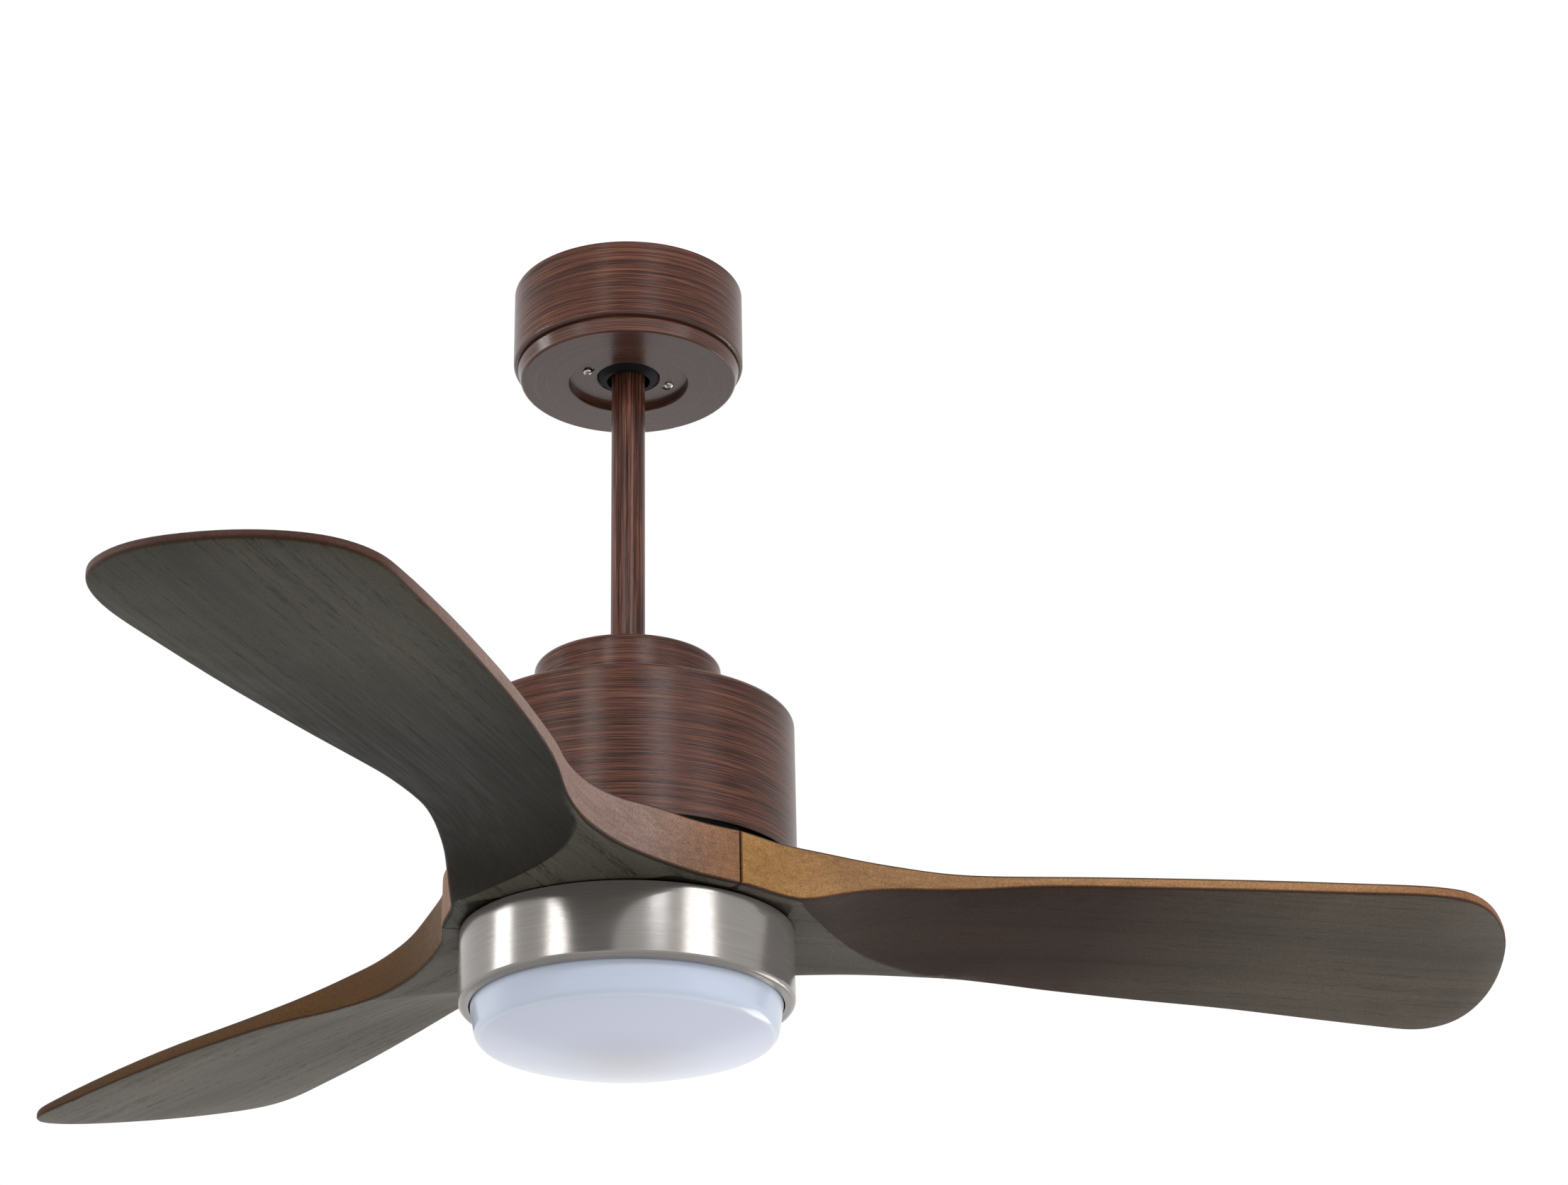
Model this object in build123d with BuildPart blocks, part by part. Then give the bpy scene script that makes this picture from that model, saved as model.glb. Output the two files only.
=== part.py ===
from build123d import *
import os
from math import cos, radians, sin, sqrt

os.makedirs("parts", exist_ok=True)

# A ceiling fan with a light, hung from the ceiling plane at Z = 0. Millimetres, +Z up, the fan's axis on Z.
# The ceiling bracket lies along X.

# Heights, from the ceiling down
canopy_height = 78.5
rod_in_sight = 254.4
cover_height = 49.9
housing_height = 118.0
hub_gap = 8.0
hub_thickness = 41.5
ring_gap = 1.5
ring_height = 56.6
diffuser_drop = 44.0

# Canopy
canopy_radius = 93.5
canopy_wall = 1.2
canopy_band = 12.5
canopy_step = 3.2
canopy_groove = 1.6
canopy_face_inset = 3.3
canopy_rim_round = 3.0
canopy_face_round = 2.0
canopy_recess_radius = 48.6
canopy_recess_depth = 5.0
canopy_hole_radius = 26.0
keyhole_turn = 7.0

# Ceiling bracket and hanger ball
bracket_length = 116.0
bracket_width = 46.0
bracket_sheet = 3.0
ceiling_slot_spacing = 89.0
ceiling_slot_length = 14.0
ceiling_slot_width = 6.5
ball_radius = 32.5
ball_clearance = 0.3
seat_opening = 25.7
seat_rim_width = 5.5
seat_height = 12.0
rod_way_clearance = 1.5
ball_top = 12.0
ball_bottom = 25.0
ball_mouth_radius = 17.5
ball_mouth_depth = 7.0
receiver_length = 64.0
receiver_width = 38.0
receiver_height = 20.0
receiver_round = 2.0

# Downrod and yoke
rod_radius = 13.55
rod_wall = 2.2
rod_above_ball = 6.0
rod_fit = 0.1
cover_hole_clearance = 0.6
hanger_pin_radius = 3.0
hanger_pin_length = 48.0
running_clearance = 0.05
yoke_collar_radius = 21.5
yoke_below_cover = 5.0
yoke_rod_depth = 26.0
yoke_flange_radius = 48.0
yoke_flange_thick = 6.0
yoke_pin_depth = 12.0
yoke_pin_radius = 3.0
yoke_pin_overhang = 6.0
cotter_radius = 1.0
cotter_length = 14.0

# Fasteners
screw_fit = 0.05
screw_run_out = 1.0
small_screw_radius = 2.0
small_head_radius = 4.0
small_head_height = 2.6
cross_width = 1.0
cross_depth = 1.4
flange_screw_radius = 2.5
flange_head_radius = 4.6
flange_head_height = 3.4
set_screw_overhang = 2.0
blade_screw_radius = 3.0
blade_head_radius = 5.6
blade_head_height = 3.0
canopy_screw_circle = 35.0
canopy_screw_grip = 8.0
yoke_screw_circle = 36.0
yoke_screw_count = 4
rotor_screw_radius = 1.5
rotor_screw_count = 6
rotor_screw_length = 18.0
blade_screw_circle = 78.0
blade_screw_spread = 32.0
blade_screw_grip = 12.0

# Cover and motor housing
cover_radius = 72.7
cover_round = 5.0
housing_radius = 129.3
housing_round = 3.5
sheet_wall = 1.2

# Motor
motor_plate_radius = 60.0
motor_plate_thick = 5.0
shaft_radius = 10.0
shaft_bore = 6.5
shaft_in_yoke = 14.0
press_clearance = 0.02
bearing_radius = 21.0
bearing_width = 12.0
bearing_ball_radius = 3.175
bearing_ball_count = 9
bearing_ball_play = 0.3
bearing_shoulder = 3.2
bearing_lip = 2.0
bearing_lip_width = 5.0
bearing_boss_wall = 6.0
rotor_top_gap = 4.0
rotor_top_thick = 5.0
rotor_radius = 111.0
rotor_wall = 7.0
rotor_above_mouth = 14.0
rotor_base_thick = 7.0
carrier_radius = 100.0
carrier_wall = 40.0
magnet_count = 14
magnet_thick = 3.5
magnet_gap_angle = 3.0
air_gap = 0.8
stator_height = 26.0
stator_drop = 46.0
stator_sleeve_radius = 30.0
stator_sleeve_extra = 5.0
stator_yoke_width = 18.0
tooth_count = 12
tooth_width = 12.0
tooth_shoe = 8.0
tooth_shoe_gap = 6.0
coil_side = 5.0
coil_end = 7.0
coil_margin = 4.0
coil_round = 3.0

# Blades
blade_count = 3
blade_rest_angle = -9.0
blade_tip_radius = 713.0
blade_droop = 8.0
hub_radius = 139.5
hub_hole_radius = 40.0
seam_angle = 57.0
seam_gap = 0.4
blade_waist = 235.0
loft_start = 112.0
loft_margin = 12.0
loft_steps = 24
clamp_radius = 106.0
clamp_hole_radius = 48.0
clamp_thick = 2.0
clamp_clearance = 1.0

# Light
ring_radius = 126.0
ring_wall = 1.2
ring_top_lip = 14.0
ring_bottom_lip = 8.0
ring_round = 4.0
pan_thick = 1.5
pan_clearance = 0.3
nut_radius = 17.0
nut_height = 8.0
shaft_below_nut = 4.0
ring_screw_count = 3
driver_length = 72.0
driver_width = 36.0
driver_height = 18.0
driver_offset = 52.0
driver_round = 2.0
board_inset = 18.5
board_thick = 1.6
board_drop = 24.0
standoff_radius = 4.0
standoff_inset = 10.0
standoff_count = 3
standoff_turn = 30.0
chip_size = 3.5
chip_height = 0.8
chip_shares = (0.36, 0.68, 0.83)
chip_counts = (16, 24, 30)
diffuser_gap = 1.0
diffuser_wall = 2.5
diffuser_in_ring = 17.5
diffuser_taper = 4.0
diffuser_sag = 20.0
diffuser_round = 10.0
lug_count = 3
lug_reach = 6.5
lug_height = 3.2
lug_angle = 24.0
lug_turn = 60.0
clip_angle = 20.0
clip_sheet = 2.0
clip_inset = 7.0
clip_overlap = 4.5

# Radii worked out from the light ring, and levels worked out from the heights
ring_mouth_radius = ring_radius - ring_bottom_lip
diffuser_radius = ring_mouth_radius - diffuser_gap
board_radius = diffuser_radius - diffuser_wall - board_inset
standoff_circle = board_radius - standoff_inset
canopy_face_z = -canopy_height
recess_z = canopy_face_z + canopy_recess_depth
cradle_z = recess_z + canopy_wall
seat_radius = ball_radius + ball_clearance
ball_z = cradle_z + sqrt(seat_radius**2 - seat_opening**2)
rod_top_z = ball_z + ball_top + rod_above_ball
cover_top_z = canopy_face_z - rod_in_sight
housing_top_z = cover_top_z - cover_height
housing_bottom_z = housing_top_z - housing_height
hub_top_z = housing_bottom_z - hub_gap
hub_bottom_z = hub_top_z - hub_thickness
clamp_recess = clamp_thick + blade_head_height + clamp_clearance
clamp_top_z = hub_bottom_z + clamp_recess
ring_top_z = hub_bottom_z - ring_gap
ring_bottom_z = ring_top_z - ring_height
yoke_top_z = cover_top_z - sheet_wall - yoke_below_cover
rod_bottom_z = yoke_top_z - yoke_rod_depth
yoke_pin_z = yoke_top_z - yoke_pin_depth
flange_top_z = housing_top_z + yoke_flange_thick
deck_z = housing_top_z - sheet_wall
motor_plate_z = deck_z - motor_plate_thick
shaft_top_z = housing_top_z + shaft_in_yoke
rotor_top_z = motor_plate_z - rotor_top_gap
upper_bearing_z = rotor_top_z - bearing_lip
rotor_split_z = housing_bottom_z + rotor_above_mouth
lower_bearing_z = rotor_split_z
stator_z = rotor_top_z - stator_drop
pan_z = ring_top_z - ring_wall
pan_bottom_z = pan_z - pan_thick
shaft_bottom_z = pan_bottom_z - nut_height - shaft_below_nut
board_z = pan_bottom_z - board_drop
diffuser_rim_z = ring_bottom_z + diffuser_in_ring
diffuser_bottom_z = ring_bottom_z - diffuser_drop
lug_z = diffuser_rim_z - lug_height
clip_ledge_z = lug_z - ball_clearance
clip_bottom_z = clip_ledge_z - clip_sheet


def ring_profile(inner, outer, bottom, top):
    # Rectangle of a turned ring, for a sketch on the XZ plane
    with Locations(((inner + outer) / 2, (bottom + top) / 2)):
        Rectangle(outer - inner, top - bottom)


def fillet_corner(sketch, x, z, radius):
    # Rounds the corner of a profile that lies nearest to a point
    fillet(sketch.vertices().sort_by_distance((x, z))[0], radius)


def save(part, name):
    part.label = name
    export_step(part, "parts/" + name + ".step")


# Ceiling bracket: a folded frame, with the ball's seat in its lower side and two slots in its upper side
with BuildPart() as ceiling_bracket:
    with BuildSketch(Plane.XZ.offset(-bracket_width / 2)) as frame_outline:
        with Locations((0, cradle_z / 2)):
            Rectangle(bracket_length, -cradle_z)
            Rectangle(bracket_length - 2 * bracket_sheet, -cradle_z - 2 * bracket_sheet, mode=Mode.SUBTRACT)
    extrude(amount=bracket_width)
    with BuildSketch(Plane.XY.offset(cradle_z)):
        Circle(seat_radius + seat_rim_width)
    extrude(amount=seat_height)
    with Locations((0, 0, ball_z)):
        Sphere(seat_radius, mode=Mode.SUBTRACT)
    with BuildSketch(Plane.XY.offset(cradle_z)) as rod_way:
        with Locations((0, seat_radius)):
            Rectangle(2 * (rod_radius + rod_way_clearance), 2 * seat_radius)
    extrude(amount=seat_height, mode=Mode.SUBTRACT)
    with BuildSketch(Plane.XY) as ceiling_slots:
        with GridLocations(ceiling_slot_spacing, 0, 2, 1):
            SlotOverall(ceiling_slot_length, ceiling_slot_width)
    extrude(amount=-bracket_sheet, mode=Mode.SUBTRACT)
    with BuildSketch(Plane.XY.offset(cradle_z)) as screw_bores:
        with PolarLocations(canopy_screw_circle, 2):
            Circle(small_screw_radius + screw_fit)
    extrude(amount=canopy_screw_grip + screw_run_out, mode=Mode.SUBTRACT)
save(ceiling_bracket.part, "ceiling_bracket")

# Canopy: a spun cup with a bead, a narrower band below it, a recessed centre and two keyholes
band_top_z = canopy_face_z + canopy_band
band_radius = canopy_radius - canopy_step
canopy_face_radius = band_radius - canopy_face_inset
with BuildPart() as canopy:
    with BuildSketch(Plane.XZ) as canopy_profile:
        with BuildLine():
            Polyline(
                (canopy_radius - canopy_wall, 0),
                (canopy_radius, 0),
                (canopy_radius, band_top_z),
                (band_radius - canopy_groove, band_top_z),
                (band_radius - canopy_groove, band_top_z - canopy_groove),
                (band_radius, band_top_z - canopy_groove),
                (canopy_face_radius, canopy_face_z),
                (canopy_recess_radius, canopy_face_z),
                (canopy_recess_radius, recess_z),
                (canopy_hole_radius, recess_z),
                (canopy_hole_radius, cradle_z),
                (canopy_recess_radius + canopy_wall, cradle_z),
                (canopy_recess_radius + canopy_wall, canopy_face_z + canopy_wall),
                (canopy_face_radius - canopy_wall, canopy_face_z + canopy_wall),
                (band_radius - canopy_groove - canopy_wall, band_top_z - canopy_groove),
                (band_radius - canopy_groove - canopy_wall, band_top_z + canopy_wall),
                (canopy_radius - canopy_wall, band_top_z + canopy_wall),
                close=True,
            )
        make_face()
        fillet_corner(canopy_profile, canopy_radius, band_top_z, canopy_rim_round)
        fillet_corner(
            canopy_profile,
            canopy_radius - canopy_wall,
            band_top_z + canopy_wall,
            canopy_rim_round - canopy_wall,
        )
        fillet_corner(canopy_profile, band_radius, band_top_z - canopy_groove, canopy_groove / 2)
        fillet_corner(canopy_profile, canopy_face_radius, canopy_face_z, canopy_face_round)
        fillet_corner(
            canopy_profile,
            canopy_face_radius - canopy_wall,
            canopy_face_z + canopy_wall,
            canopy_face_round - canopy_wall,
        )
        fillet_corner(canopy_profile, canopy_recess_radius, canopy_face_z, canopy_groove / 2)
    revolve(axis=Axis.Z)
    with BuildSketch(Plane.XY.offset(recess_z)) as keyholes:
        with PolarLocations(canopy_screw_circle, 2):
            Circle(small_screw_radius + 4 * screw_fit)
        with PolarLocations(canopy_screw_circle, 2, start_angle=keyhole_turn):
            Circle(small_head_radius + 4 * screw_fit)
        for side in (0, 180):
            SlotArc(
                CenterArc((0, 0), canopy_screw_circle, side, keyhole_turn),
                2 * (small_screw_radius + 4 * screw_fit),
            )
    extrude(amount=canopy_wall, mode=Mode.SUBTRACT)
save(canopy.part, "canopy")

# Canopy screws, with a cross in each head
with BuildPart() as canopy_screws:
    with BuildSketch(Plane.XY.offset(recess_z)):
        with PolarLocations(canopy_screw_circle, 2):
            Circle(small_screw_radius)
    extrude(amount=canopy_wall + canopy_screw_grip)
    with BuildSketch(Plane.XY.offset(recess_z)):
        with PolarLocations(canopy_screw_circle, 2):
            Circle(small_head_radius)
    extrude(amount=-small_head_height)
    head_edges = canopy_screws.edges().group_by(Axis.Z)[0]
    fillet(head_edges, small_head_height / 2)
    with BuildSketch(Plane.XY.offset(recess_z - small_head_height)):
        with PolarLocations(canopy_screw_circle, 2, start_angle=0):
            Rectangle(small_head_radius, cross_width, rotation=30)
            Rectangle(small_head_radius, cross_width, rotation=120)
    extrude(amount=cross_depth, mode=Mode.SUBTRACT)
save(canopy_screws.part, "canopy_screws")

# Receiver box, under the bracket's upper side
with BuildPart() as receiver_box:
    with BuildSketch(Plane.XY.offset(-bracket_sheet)):
        RectangleRounded(receiver_length, receiver_width, receiver_round)
    extrude(amount=-receiver_height)
    fillet(receiver_box.edges().group_by(Axis.Z)[0], receiver_round / 2)
save(receiver_box.part, "receiver_box")

# Hanger ball, cut flat above and below, bored for the rod, the pin and the set screw
with BuildPart() as hanger_ball:
    with Locations((0, 0, ball_z)):
        Sphere(ball_radius)
    split(bisect_by=Plane.XY.offset(ball_z + ball_top), keep=Keep.BOTTOM)
    split(bisect_by=Plane.XY.offset(ball_z - ball_bottom), keep=Keep.TOP)
    with BuildSketch(Plane.XY.offset(ball_z - ball_bottom)):
        Circle(rod_radius + rod_fit)
    extrude(amount=ball_top + ball_bottom, mode=Mode.SUBTRACT)
    with BuildSketch(Plane.XY.offset(ball_z - ball_bottom)):
        Circle(ball_mouth_radius)
    extrude(amount=ball_mouth_depth, mode=Mode.SUBTRACT)
    with BuildSketch(Plane.YZ):
        with Locations((0, ball_z)):
            Circle(hanger_pin_radius + running_clearance)
    extrude(amount=ball_radius, both=True, mode=Mode.SUBTRACT)
    with BuildSketch(Plane.XZ):
        with Locations((0, ball_z)):
            Circle(flange_screw_radius + screw_fit)
    extrude(amount=ball_radius, mode=Mode.SUBTRACT)
save(hanger_ball.part, "hanger_ball")

# Hanger pin, across the rod and the ball at the ball's centre
with BuildPart() as hanger_pin:
    with BuildSketch(Plane.YZ.offset(-hanger_pin_length / 2)):
        with Locations((0, ball_z)):
            Circle(hanger_pin_radius)
    extrude(amount=hanger_pin_length)
    chamfer(hanger_pin.edges(), hanger_pin_radius / 6)
save(hanger_pin.part, "hanger_pin")

# Set screw that locks the ball to the rod
with BuildPart() as ball_set_screw:
    with BuildSketch(Plane.XZ.offset(rod_radius)):
        with Locations((0, ball_z)):
            Circle(flange_screw_radius)
    extrude(amount=(ball_radius - rod_radius) * 0.8)
save(ball_set_screw.part, "ball_set_screw")

# Downrod: a tube with a cross hole at each end
with BuildPart() as downrod:
    with BuildSketch(Plane.XY.offset(rod_bottom_z)):
        Circle(rod_radius)
        Circle(rod_radius - rod_wall, mode=Mode.SUBTRACT)
    extrude(amount=rod_top_z - rod_bottom_z)
    with BuildSketch(Plane.YZ):
        with Locations((0, ball_z)):
            Circle(hanger_pin_radius + running_clearance)
    extrude(amount=2 * rod_radius, both=True, mode=Mode.SUBTRACT)
    with BuildSketch(Plane.XZ):
        with Locations((0, yoke_pin_z)):
            Circle(yoke_pin_radius + screw_fit)
    extrude(amount=2 * rod_radius, both=True, mode=Mode.SUBTRACT)
save(downrod.part, "downrod")

# Yoke: collar for the rod above, bore for the shaft below, flange on the motor housing
with BuildPart() as yoke:
    with BuildSketch(Plane.XZ) as yoke_profile:
        with BuildLine():
            Polyline(
                (shaft_bore, shaft_top_z),
                (shaft_radius + press_clearance, shaft_top_z),
                (shaft_radius + press_clearance, housing_top_z),
                (yoke_flange_radius, housing_top_z),
                (yoke_flange_radius, flange_top_z),
                (yoke_collar_radius, flange_top_z),
                (yoke_collar_radius, yoke_top_z),
                (rod_radius + rod_fit, yoke_top_z),
                (rod_radius + rod_fit, rod_bottom_z),
                (shaft_bore, rod_bottom_z),
                close=True,
            )
        make_face()
    revolve(axis=Axis.Z)
    with BuildSketch(Plane.XZ):
        with Locations((0, yoke_pin_z)):
            Circle(yoke_pin_radius + screw_fit)
    extrude(amount=yoke_collar_radius, both=True, mode=Mode.SUBTRACT)
    with BuildSketch(Plane.YZ):
        with Locations((0, yoke_pin_z)):
            Circle(flange_screw_radius + screw_fit)
    extrude(amount=yoke_collar_radius, both=True, mode=Mode.SUBTRACT)
    with Locations((0, 0, flange_top_z)):
        with PolarLocations(yoke_screw_circle, yoke_screw_count, start_angle=45):
            Hole(flange_screw_radius + screw_fit, depth=yoke_flange_thick)
save(yoke.part, "yoke")

# Yoke pin with its cross hole, and the cotter that keeps it in
cotter_y = yoke_collar_radius + yoke_pin_overhang / 2
with BuildPart() as yoke_pin:
    with BuildSketch(Plane.XZ.offset(-yoke_collar_radius - yoke_pin_overhang)):
        with Locations((0, yoke_pin_z)):
            Circle(yoke_pin_radius)
    extrude(amount=2 * yoke_collar_radius + yoke_pin_overhang)
    with BuildSketch(Plane.XZ.offset(yoke_collar_radius)):
        with Locations((0, yoke_pin_z)):
            Circle(yoke_pin_radius * 1.7)
    extrude(amount=yoke_pin_radius / 2)
    with BuildSketch(Plane.XY.offset(yoke_pin_z)):
        with Locations((0, cotter_y)):
            Circle(cotter_radius + screw_fit)
    extrude(amount=yoke_pin_radius, both=True, mode=Mode.SUBTRACT)
save(yoke_pin.part, "yoke_pin")

with BuildPart() as yoke_cotter:
    with BuildSketch(Plane.XY.offset(yoke_pin_z - cotter_length / 2)):
        with Locations((0, cotter_y)):
            Circle(cotter_radius)
    extrude(amount=cotter_length)
    with Locations((0, cotter_y, yoke_pin_z + cotter_length / 2)):
        Sphere(cotter_radius * 1.6)
save(yoke_cotter.part, "yoke_cotter")

# Set screws that clamp the rod in the yoke
with BuildPart() as yoke_set_screws:
    for side in (1, -1):
        with BuildSketch(Plane.YZ.offset(side * rod_radius)):
            with Locations((0, yoke_pin_z)):
                Circle(flange_screw_radius)
        extrude(amount=side * (yoke_collar_radius - rod_radius + set_screw_overhang))
save(yoke_set_screws.part, "yoke_set_screws")

# Screws through the yoke's flange and the housing into the motor plate
with BuildPart() as yoke_screws:
    with BuildSketch(Plane.XY.offset(motor_plate_z)):
        with PolarLocations(yoke_screw_circle, yoke_screw_count, start_angle=45):
            Circle(flange_screw_radius)
    extrude(amount=flange_top_z - motor_plate_z)
    with BuildSketch(Plane.XY.offset(flange_top_z)):
        with PolarLocations(yoke_screw_circle, yoke_screw_count, start_angle=45):
            RegularPolygon(flange_head_radius, 6)
    extrude(amount=flange_head_height)
save(yoke_screws.part, "yoke_screws")

# Coupling cover: a drum over the yoke, resting on the housing
with BuildPart() as coupling_cover:
    with BuildSketch(Plane.XY.offset(housing_top_z)):
        Circle(cover_radius)
    extrude(amount=cover_height)
    fillet(coupling_cover.edges().group_by(Axis.Z)[-1], cover_round)
    offset(amount=-sheet_wall, openings=coupling_cover.faces().sort_by(Axis.Z)[0])
    with BuildSketch(Plane.XY.offset(cover_top_z)):
        Circle(rod_radius + cover_hole_clearance)
    extrude(amount=-sheet_wall, mode=Mode.SUBTRACT)
save(coupling_cover.part, "coupling_cover")

# Motor housing: a drum, open below, with a deck that carries the yoke
with BuildPart() as motor_housing:
    with BuildSketch(Plane.XY.offset(housing_bottom_z)):
        Circle(housing_radius)
    extrude(amount=housing_height)
    fillet(motor_housing.edges().group_by(Axis.Z)[-1], housing_round)
    offset(amount=-sheet_wall, openings=motor_housing.faces().sort_by(Axis.Z)[0])
    with BuildSketch(Plane.XY.offset(housing_top_z)):
        Circle(shaft_radius + press_clearance)
        with PolarLocations(yoke_screw_circle, yoke_screw_count, start_angle=45):
            Circle(flange_screw_radius + screw_fit)
    extrude(amount=-sheet_wall, mode=Mode.SUBTRACT)
save(motor_housing.part, "motor_housing")

# Motor top plate, under the deck
with BuildPart() as motor_plate:
    with BuildSketch(Plane.XY.offset(motor_plate_z)):
        Circle(motor_plate_radius)
        Circle(shaft_radius + press_clearance, mode=Mode.SUBTRACT)
        with PolarLocations(yoke_screw_circle, yoke_screw_count, start_angle=45):
            Circle(flange_screw_radius + screw_fit, mode=Mode.SUBTRACT)
    extrude(amount=motor_plate_thick)
save(motor_plate.part, "motor_plate")

# Hollow motor shaft, from the yoke down to the light
with BuildPart() as motor_shaft:
    with BuildSketch(Plane.XY.offset(shaft_bottom_z)):
        Circle(shaft_radius)
        Circle(shaft_bore, mode=Mode.SUBTRACT)
    extrude(amount=shaft_top_z - shaft_bottom_z)
save(motor_shaft.part, "motor_shaft")

# Stator: sleeve on the shaft, core with its teeth, one coil on each tooth
rotor_bore = rotor_radius - rotor_wall
stator_radius = rotor_bore - magnet_thick - air_gap
with BuildPart() as stator_sleeve:
    with BuildSketch(Plane.XY.offset(stator_z - stator_height / 2 - stator_sleeve_extra)):
        Circle(stator_sleeve_radius)
        Circle(shaft_radius + press_clearance, mode=Mode.SUBTRACT)
    extrude(amount=stator_height + 2 * stator_sleeve_extra)
save(stator_sleeve.part, "stator_sleeve")

core_radius = stator_sleeve_radius + stator_yoke_width
shoe_radius = stator_radius - tooth_shoe
with BuildPart() as stator_core:
    with BuildSketch(Plane.XY.offset(stator_z - stator_height / 2)):
        Circle(stator_radius)
        Circle(shoe_radius, mode=Mode.SUBTRACT)
        with PolarLocations((stator_radius + shoe_radius) / 2, tooth_count, start_angle=180 / tooth_count):
            Rectangle(2 * tooth_shoe, tooth_shoe_gap, mode=Mode.SUBTRACT)
        with PolarLocations((core_radius + shoe_radius) / 2, tooth_count):
            Rectangle(shoe_radius - core_radius + tooth_shoe, tooth_width)
        Circle(core_radius)
        Circle(stator_sleeve_radius + press_clearance, mode=Mode.SUBTRACT)
    extrude(amount=stator_height)
save(stator_core.part, "stator_core")

coil_length = shoe_radius - core_radius - 2 * coil_margin
with BuildPart() as stator_coils:
    with BuildSketch(Plane.XY.offset(stator_z)):
        with PolarLocations((core_radius + shoe_radius) / 2, tooth_count):
            RectangleRounded(coil_length, tooth_width + 2 * coil_side, coil_round)
    extrude(amount=stator_height / 2 + coil_end, both=True)
    with BuildSketch(Plane.XY.offset(stator_z)):
        with PolarLocations((core_radius + shoe_radius) / 2, tooth_count):
            Rectangle(2 * coil_length, tooth_width + 2 * screw_fit)
    extrude(amount=stator_height / 2 + screw_fit, both=True, mode=Mode.SUBTRACT)
save(stator_coils.part, "stator_coils")

# Bearings: inner ring on the shaft, outer ring in the rotor, balls between
ball_circle = (shaft_radius + bearing_radius) / 2
groove_radius = bearing_ball_radius + bearing_ball_play
inner_ring_radius = shaft_radius + bearing_shoulder
outer_ring_bore = bearing_radius - bearing_shoulder
for level, name in ((upper_bearing_z, "upper_bearing"), (lower_bearing_z, "lower_bearing")):
    middle = level - bearing_width / 2
    with BuildPart() as inner_ring:
        with BuildSketch(Plane.XZ):
            ring_profile(shaft_radius + press_clearance, inner_ring_radius, level - bearing_width, level)
            with Locations((ball_circle, middle)):
                Circle(groove_radius, mode=Mode.SUBTRACT)
        revolve(axis=Axis.Z)
    save(inner_ring.part, name + "_inner")
    with BuildPart() as outer_ring:
        with BuildSketch(Plane.XZ):
            ring_profile(outer_ring_bore, bearing_radius - press_clearance, level - bearing_width, level)
            with Locations((ball_circle, middle)):
                Circle(groove_radius, mode=Mode.SUBTRACT)
        revolve(axis=Axis.Z)
    save(outer_ring.part, name + "_outer")
    with BuildPart() as bearing_balls:
        with Locations((0, 0, middle)):
            with PolarLocations(ball_circle, bearing_ball_count):
                Sphere(bearing_ball_radius)
    save(bearing_balls.part, name + "_balls")

# Rotor shell: a bell with the upper bearing's seat
boss_radius = bearing_radius + bearing_boss_wall
lip_radius = bearing_radius - bearing_lip_width
rotor_screw_circle = rotor_radius - rotor_wall / 2
with BuildPart() as rotor_shell:
    with BuildSketch(Plane.XZ) as shell_profile:
        ring_profile(lip_radius, rotor_radius, rotor_top_z - rotor_top_thick, rotor_top_z)
        ring_profile(rotor_bore, rotor_radius, rotor_split_z, rotor_top_z)
        ring_profile(lip_radius, boss_radius, upper_bearing_z - bearing_width, rotor_top_z)
        with Locations((bearing_radius / 2, upper_bearing_z - bearing_width / 2)):
            Rectangle(bearing_radius, bearing_width, mode=Mode.SUBTRACT)
    revolve(axis=Axis.Z)
    with Locations((0, 0, rotor_split_z)):
        with PolarLocations(rotor_screw_circle, rotor_screw_count):
            Hole(rotor_screw_radius + screw_fit, depth=rotor_screw_length)
save(rotor_shell.part, "rotor_shell")

# Rotor base: closes the bell, holds the lower bearing, and carries the blades
with BuildPart() as rotor_base:
    with BuildSketch(Plane.XZ) as base_profile:
        ring_profile(lip_radius, rotor_radius, rotor_split_z - rotor_base_thick, rotor_split_z)
        ring_profile(carrier_radius - carrier_wall, carrier_radius, hub_top_z, rotor_split_z)
        ring_profile(lip_radius, boss_radius, lower_bearing_z - bearing_width - bearing_lip, rotor_split_z)
        with Locations((bearing_radius / 2, lower_bearing_z - bearing_width / 2)):
            Rectangle(bearing_radius, bearing_width, mode=Mode.SUBTRACT)
    revolve(axis=Axis.Z)
    with Locations((0, 0, rotor_split_z)):
        with PolarLocations(rotor_screw_circle, rotor_screw_count):
            Hole(rotor_screw_radius + screw_fit, depth=rotor_base_thick)
    with BuildSketch(Plane.XY.offset(hub_top_z)):
        with PolarLocations(0, blade_count, start_angle=blade_rest_angle):
            with PolarLocations(blade_screw_circle, 3, -blade_screw_spread, 2 * blade_screw_spread,
                                endpoint=True):
                Circle(blade_screw_radius + screw_fit)
    extrude(amount=blade_screw_grip + screw_run_out, mode=Mode.SUBTRACT)
save(rotor_base.part, "rotor_base")

rotor_screw_z = rotor_split_z - rotor_base_thick
with BuildPart() as rotor_screws:
    with BuildSketch(Plane.XY.offset(rotor_screw_z)):
        with PolarLocations(rotor_screw_circle, rotor_screw_count):
            Circle(rotor_screw_radius)
    extrude(amount=rotor_screw_length)
    with BuildSketch(Plane.XY.offset(rotor_screw_z)):
        with PolarLocations(rotor_screw_circle, rotor_screw_count):
            Circle(2 * rotor_screw_radius)
    extrude(amount=-1.2 * rotor_screw_radius)
save(rotor_screws.part, "rotor_screws")

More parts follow.
